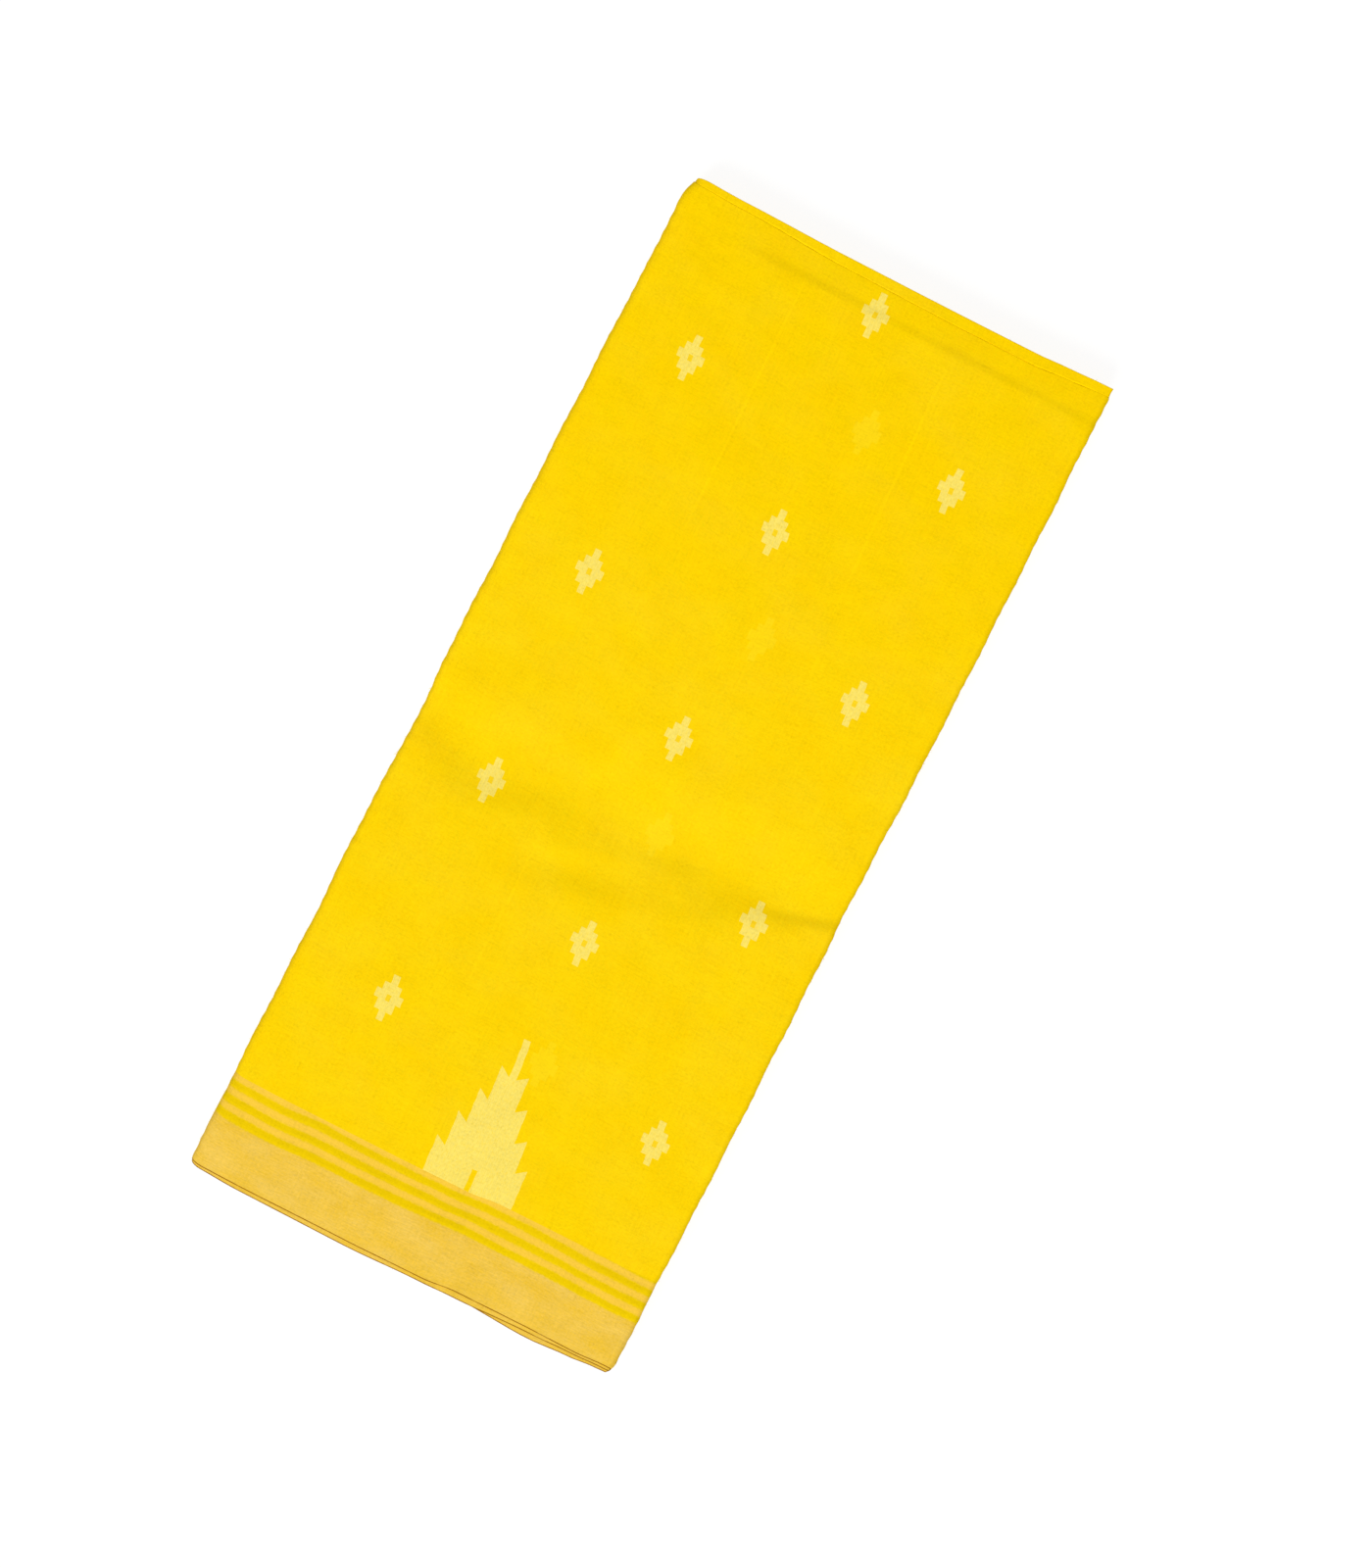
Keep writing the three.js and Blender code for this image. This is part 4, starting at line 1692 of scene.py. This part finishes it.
@dataclass(frozen=True)
class LooseThreads:
    """The few loose thread ends that stand out from the sides, and the fuzz of the edges."""

    ends: tuple[ThreadEnd, ...] = (
        ThreadEnd(-11.0 * MM, -1.0, 1.1 * MM, -2.2 * MM, 9.0 * MM),
        ThreadEnd(-51.0 * MM, -1.0, 1.4 * MM, -1.2 * MM, 8.0 * MM),
        ThreadEnd(-150.0 * MM, -1.0, 0.7 * MM, 1.6 * MM, 10.0 * MM),
        ThreadEnd(73.0 * MM, 1.0, 1.2 * MM, 1.5 * MM, 13.0 * MM),
        ThreadEnd(-43.5 * MM, 1.0, 1.0 * MM, -1.8 * MM, 15.0 * MM),
        ThreadEnd(182.0 * MM, 1.0, 0.7 * MM, 1.2 * MM, 9.0 * MM),
    )
    radius: float = 0.11 * MM
    steps: int = 6
    sides: int = 6
    sunk: float = 0.8 * MM
    curl: float = 0.6
    rise: float = 0.4 * MM
    rise_turn: float = 3.0

    def build(self, stack: FoldedStack, material: bpy.types.Material) -> bpy.types.Object:
        """Makes all the thread ends and the fuzz as one piece.

        Args:
            stack: Where the leaves lie.
            material: Their finish.

        Returns:
            The piece.
        """
        work = bmesh.new()
        work.loops.layers.uv.new("pattern")
        for end in self.ends:
            self.grow(work, stack, end)
        EdgeFuzz().grow(work, stack)
        for face in work.faces:
            face.smooth = True
        bmesh.ops.recalc_face_normals(work, faces=work.faces)
        return place_in_scene("loose_threads", work, material)

    def grow(self, work: bmesh.types.BMesh, stack: FoldedStack, end: ThreadEnd) -> None:
        """Draws one thread end out of a side, as a thin tube along a curl.

        Args:
            work: The mesh that they are added to.
            stack: Where the leaves lie.
            end: The thread end.
        """
        place = np.full(1, end.y)
        left = -stack.bundle.half_width + stack.bundle.spine_inset(place)[0]
        rim = stack.right_edge(1, place)[0] if end.side > 0 else left
        root = Vector((rim - end.side * self.sunk, end.y, end.z))
        ring = bmesh.ops.create_circle(work, segments=self.sides, radius=self.radius, cap_ends=True)["verts"]
        bmesh.ops.rotate(work, verts=ring, matrix=Matrix.Rotation(math.pi / 2, 3, "Y"))
        bmesh.ops.translate(work, verts=ring, vec=root)
        tip = list({face for vertex in ring for face in vertex.link_faces})
        before = root
        for step in range(1, self.steps + 1):
            share = step / self.steps
            reach = end.side * (self.sunk + end.out) * math.sin(share * math.pi * self.curl)
            lift = self.rise * math.sin(share * self.rise_turn)
            now = root + Vector((reach, end.along * share**2, lift))
            grown = bmesh.ops.extrude_face_region(work, geom=tip)["geom"]
            bmesh.ops.delete(work, geom=tip, context="FACES_ONLY")
            tip = [part for part in grown if isinstance(part, bmesh.types.BMFace)]
            moved = [part for part in grown if isinstance(part, bmesh.types.BMVert)]
            bmesh.ops.translate(work, verts=moved, vec=now - before)
            before = now


class Saree:
    """The folded cloth: the outer leaf, the leaf that peeks out under it, and the leaves between."""

    TOP_COLUMNS = (
        (-104 * MM, 4),
        (-50 * MM, 12),
        (-42 * MM, 14),
        (-34 * MM, 9),
        (38 * MM, 14),
        (50 * MM, 20),
        (62 * MM, 10),
        (112 * MM, 10),
        (121.2 * MM, 5),
        (124.4 * MM, 6),
    )
    FINE = Rows(14, ((0.25, 34), (0.36, 24), (0.57, 50), (0.92, 52), (0.9955, 20), (1.0, 8)))
    MEDIUM = Rows(8, ((0.36, 14), (0.57, 26), (0.92, 16), (0.982, 6), (1.0, 14)))
    LAPPED = Rows(8, ((0.36, 14), (0.57, 26), (0.92, 16), (0.982, 6), (0.9877, 5), (0.994, 18), (1.0, 7)))
    COARSE = Rows(6, ((0.36, 8), (0.57, 16), (0.97, 10), (1.0, 6)))
    OUTER_LENGTH = 0.53
    SECOND_LENGTH = 1.02
    INNER_LENGTH = 4.45
    UNDER_STEPS = 20
    SPINE_STEPS = 18
    HANDOVER = 0.92
    FIRST_COLUMN = -66.3 * MM
    UPPER_PART = 0.75
    TURN_ROOM = 0.69 * MM

    def __init__(self, bundle: Bundle, cloth: Cloth, studio: Studio) -> None:
        """Keeps the parts' sizes and makes the two finishes."""
        self.bundle = bundle
        self.cloth = cloth
        self.stack = FoldedStack(bundle, cloth)
        self.maker = MeshMaker(cloth)
        self.outer_sheet = self.outer()
        column = self.warp_at(self.outer_sheet, self.FIRST_COLUMN) / MM
        self.field = FieldFinish().material(column, studio.white)
        self.border = BorderFinish().material(studio.white)

    @staticmethod
    def level(level: int, rightward: bool, steps: int, share: float = 1.0, start: float = 0.0) -> Run:
        """A level run, or a part of one, in equal steps.

        Args:
            level: The leaf.
            rightward: Whether the length runs to the right.
            steps: How many steps.
            share: Where the part ends, from the left side.
            start: Where it starts, from the left side.

        Returns:
            The run.
        """
        places = np.linspace(start, share, steps + 1)
        return Run(Stretch.LEVEL, level, level, tuple(places if rightward else places[::-1]))

    @staticmethod
    def turn(kind: Stretch, level: int, to_level: int, steps: int) -> Run:
        """A turn from one level to another."""
        return Run(kind, level, to_level, tuple(np.linspace(0.0, 1.0, steps + 1)[1:-1]))

    def outer(self) -> Sheet:
        """The outer leaf: the underside, round the left side, over the top, and in at the right."""
        right = float(self.stack.right_edge(1, np.zeros(1))[0] - self.TURN_ROOM)
        columns = graded(self.bundle.seam, self.TOP_COLUMNS)
        shares = np.clip((columns - self.bundle.seam) / (right - self.bundle.seam), 0.0, 1.0)
        shares[-1] = 1.0
        runs = [
            self.level(24, False, self.UNDER_STEPS),
            self.turn(Stretch.SPINE_TURN, 24, 1, self.SPINE_STEPS),
            Run(Stretch.LEVEL, 1, 1, tuple(shares)),
            self.turn(Stretch.RIGHT_TURN, 1, 2, 7),
            self.level(2, False, 2, start=self.HANDOVER),
        ]
        return SheetBuilder(self.stack, self.FINE, self.MEDIUM).build(runs, 0.0)

    def second(self) -> Sheet:
        """The second leaf, from inside the right turn to the turn of the fourth level."""
        runs = [
            self.level(2, False, 30, share=self.HANDOVER),
            self.turn(Stretch.SPINE_TURN, 2, 23, 12),
            self.level(23, True, 16),
            self.turn(Stretch.RIGHT_TURN, 23, 22, 5),
            self.level(22, False, 16),
            self.turn(Stretch.SPINE_TURN, 22, 3, 12),
            self.level(3, True, 24),
            self.turn(Stretch.RIGHT_TURN, 3, 4, 6),
            self.level(4, False, 2, start=self.HANDOVER),
        ]
        return SheetBuilder(self.stack, self.LAPPED, self.COARSE).build(runs, self.OUTER_LENGTH)

    def inner(self) -> Sheet:
        """The rest of the length, to and fro between the turned leaves, down to the cloth's inner end."""
        runs = [self.level(4, False, 11, share=self.HANDOVER)]
        middle = self.stack.LEVELS // 2
        for level in range(4, middle + 1, 2):
            lower = self.stack.LEVELS + 1 - level
            runs.append(self.turn(Stretch.SPINE_TURN, level, lower, 8))
            runs.append(self.level(lower, True, 12))
            if level < middle:
                runs.append(self.turn(Stretch.RIGHT_TURN, lower, lower - 1, 5))
                runs.append(self.level(lower - 1, False, 12))
                runs.append(self.turn(Stretch.SPINE_TURN, lower - 1, level + 1, 8))
                runs.append(self.level(level + 1, True, 12))
                runs.append(self.turn(Stretch.RIGHT_TURN, level + 1, level + 2, 5))
                runs.append(self.level(level + 2, False, 12))
        start = self.OUTER_LENGTH + self.SECOND_LENGTH
        return SheetBuilder(self.stack, self.COARSE, self.COARSE).build(runs, start)

    def warp_at(self, sheet: Sheet, x: float) -> float:
        """The length coordinate at the upper selvedge of the top leaf, at a place across.

        Args:
            sheet: The outer leaf's points.
            x: The place across the bundle.

        Returns:
            The coordinate.
        """
        row = sheet.points[:, 0, :]
        top = row[:, 2] > self.bundle.height * self.UPPER_PART
        flat = top & (np.arange(len(row)) > self.UNDER_STEPS + self.SPINE_STEPS)
        return float(np.interp(x, row[flat, 0], sheet.pattern[flat, 0, 0]))

    def dress(
        self, name: str, sheet: Sheet, rows: tuple[Rows, Rows], flat: tuple[float, float],
        field_nodes: Sequence[str], border_nodes: Sequence[str], with_pieces: Sequence[bpy.types.Object] = (),
    ) -> None:
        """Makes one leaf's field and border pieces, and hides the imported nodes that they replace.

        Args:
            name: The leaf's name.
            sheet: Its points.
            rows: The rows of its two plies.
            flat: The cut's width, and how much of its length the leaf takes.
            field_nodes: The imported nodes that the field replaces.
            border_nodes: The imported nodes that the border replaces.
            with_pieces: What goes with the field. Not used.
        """
        steps = np.ones(sheet.points.shape[1] - 1, dtype=bool)
        steps[: rows[0].border_steps] = False
        steps[len(steps) - rows[1].border_steps :] = False
        field = self.maker.shell(f"{name}_field", sheet, steps, self.field)
        border = self.maker.shell(f"{name}_border", sheet, ~steps, self.border)
        dressed = ((field, field_nodes, "field_cloth"), (border, border_nodes, "border_cloth"))
        for piece, nodes, slot in dressed:
            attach(piece, "root")
            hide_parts(*nodes)
        border_area = 2 * self.cloth.border
        field_flat = (flat[0] - border_area, flat[1])
        LOG.info("%s: %d points", name, sheet.points.shape[0] * sheet.points.shape[1])

    def build(self) -> None:
        """Makes every leaf, and the loose threads."""
        threads = LooseThreads().build(self.stack, self.field)
        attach(threads, "root")
        LOG.info("loose threads: %d points", len(threads.data.vertices))
        self.dress(
            "outer_leaf", self.outer_sheet, (self.FINE, self.MEDIUM), (self.cloth.width, self.OUTER_LENGTH),
            ["top_field", "spine_field", "under_field"], ["top_border", "spine_border", "under_border"],
            with_pieces=[threads],
        )
        self.dress(
            "second_leaf", self.second(), (self.LAPPED, self.COARSE), (self.cloth.width, self.SECOND_LENGTH),
            ["second_leaf_field"], ["second_leaf_border", "third_leaf_border"],
        )
        self.dress(
            "inner_leaves", self.inner(), (self.COARSE, self.COARSE), (self.cloth.width, self.INNER_LENGTH),
            ["folded_layers"], ["folded_layers"],
        )


def main() -> None:
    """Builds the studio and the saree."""
    logging.basicConfig(level=logging.INFO, format="%(name)s: %(message)s")
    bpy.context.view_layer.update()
    bundle = Bundle.from_frame()
    studio = Studio()
    studio.build(bundle.height)
    Saree(bundle, Cloth(), studio).build()


if __name__ == "__main__":
    main()
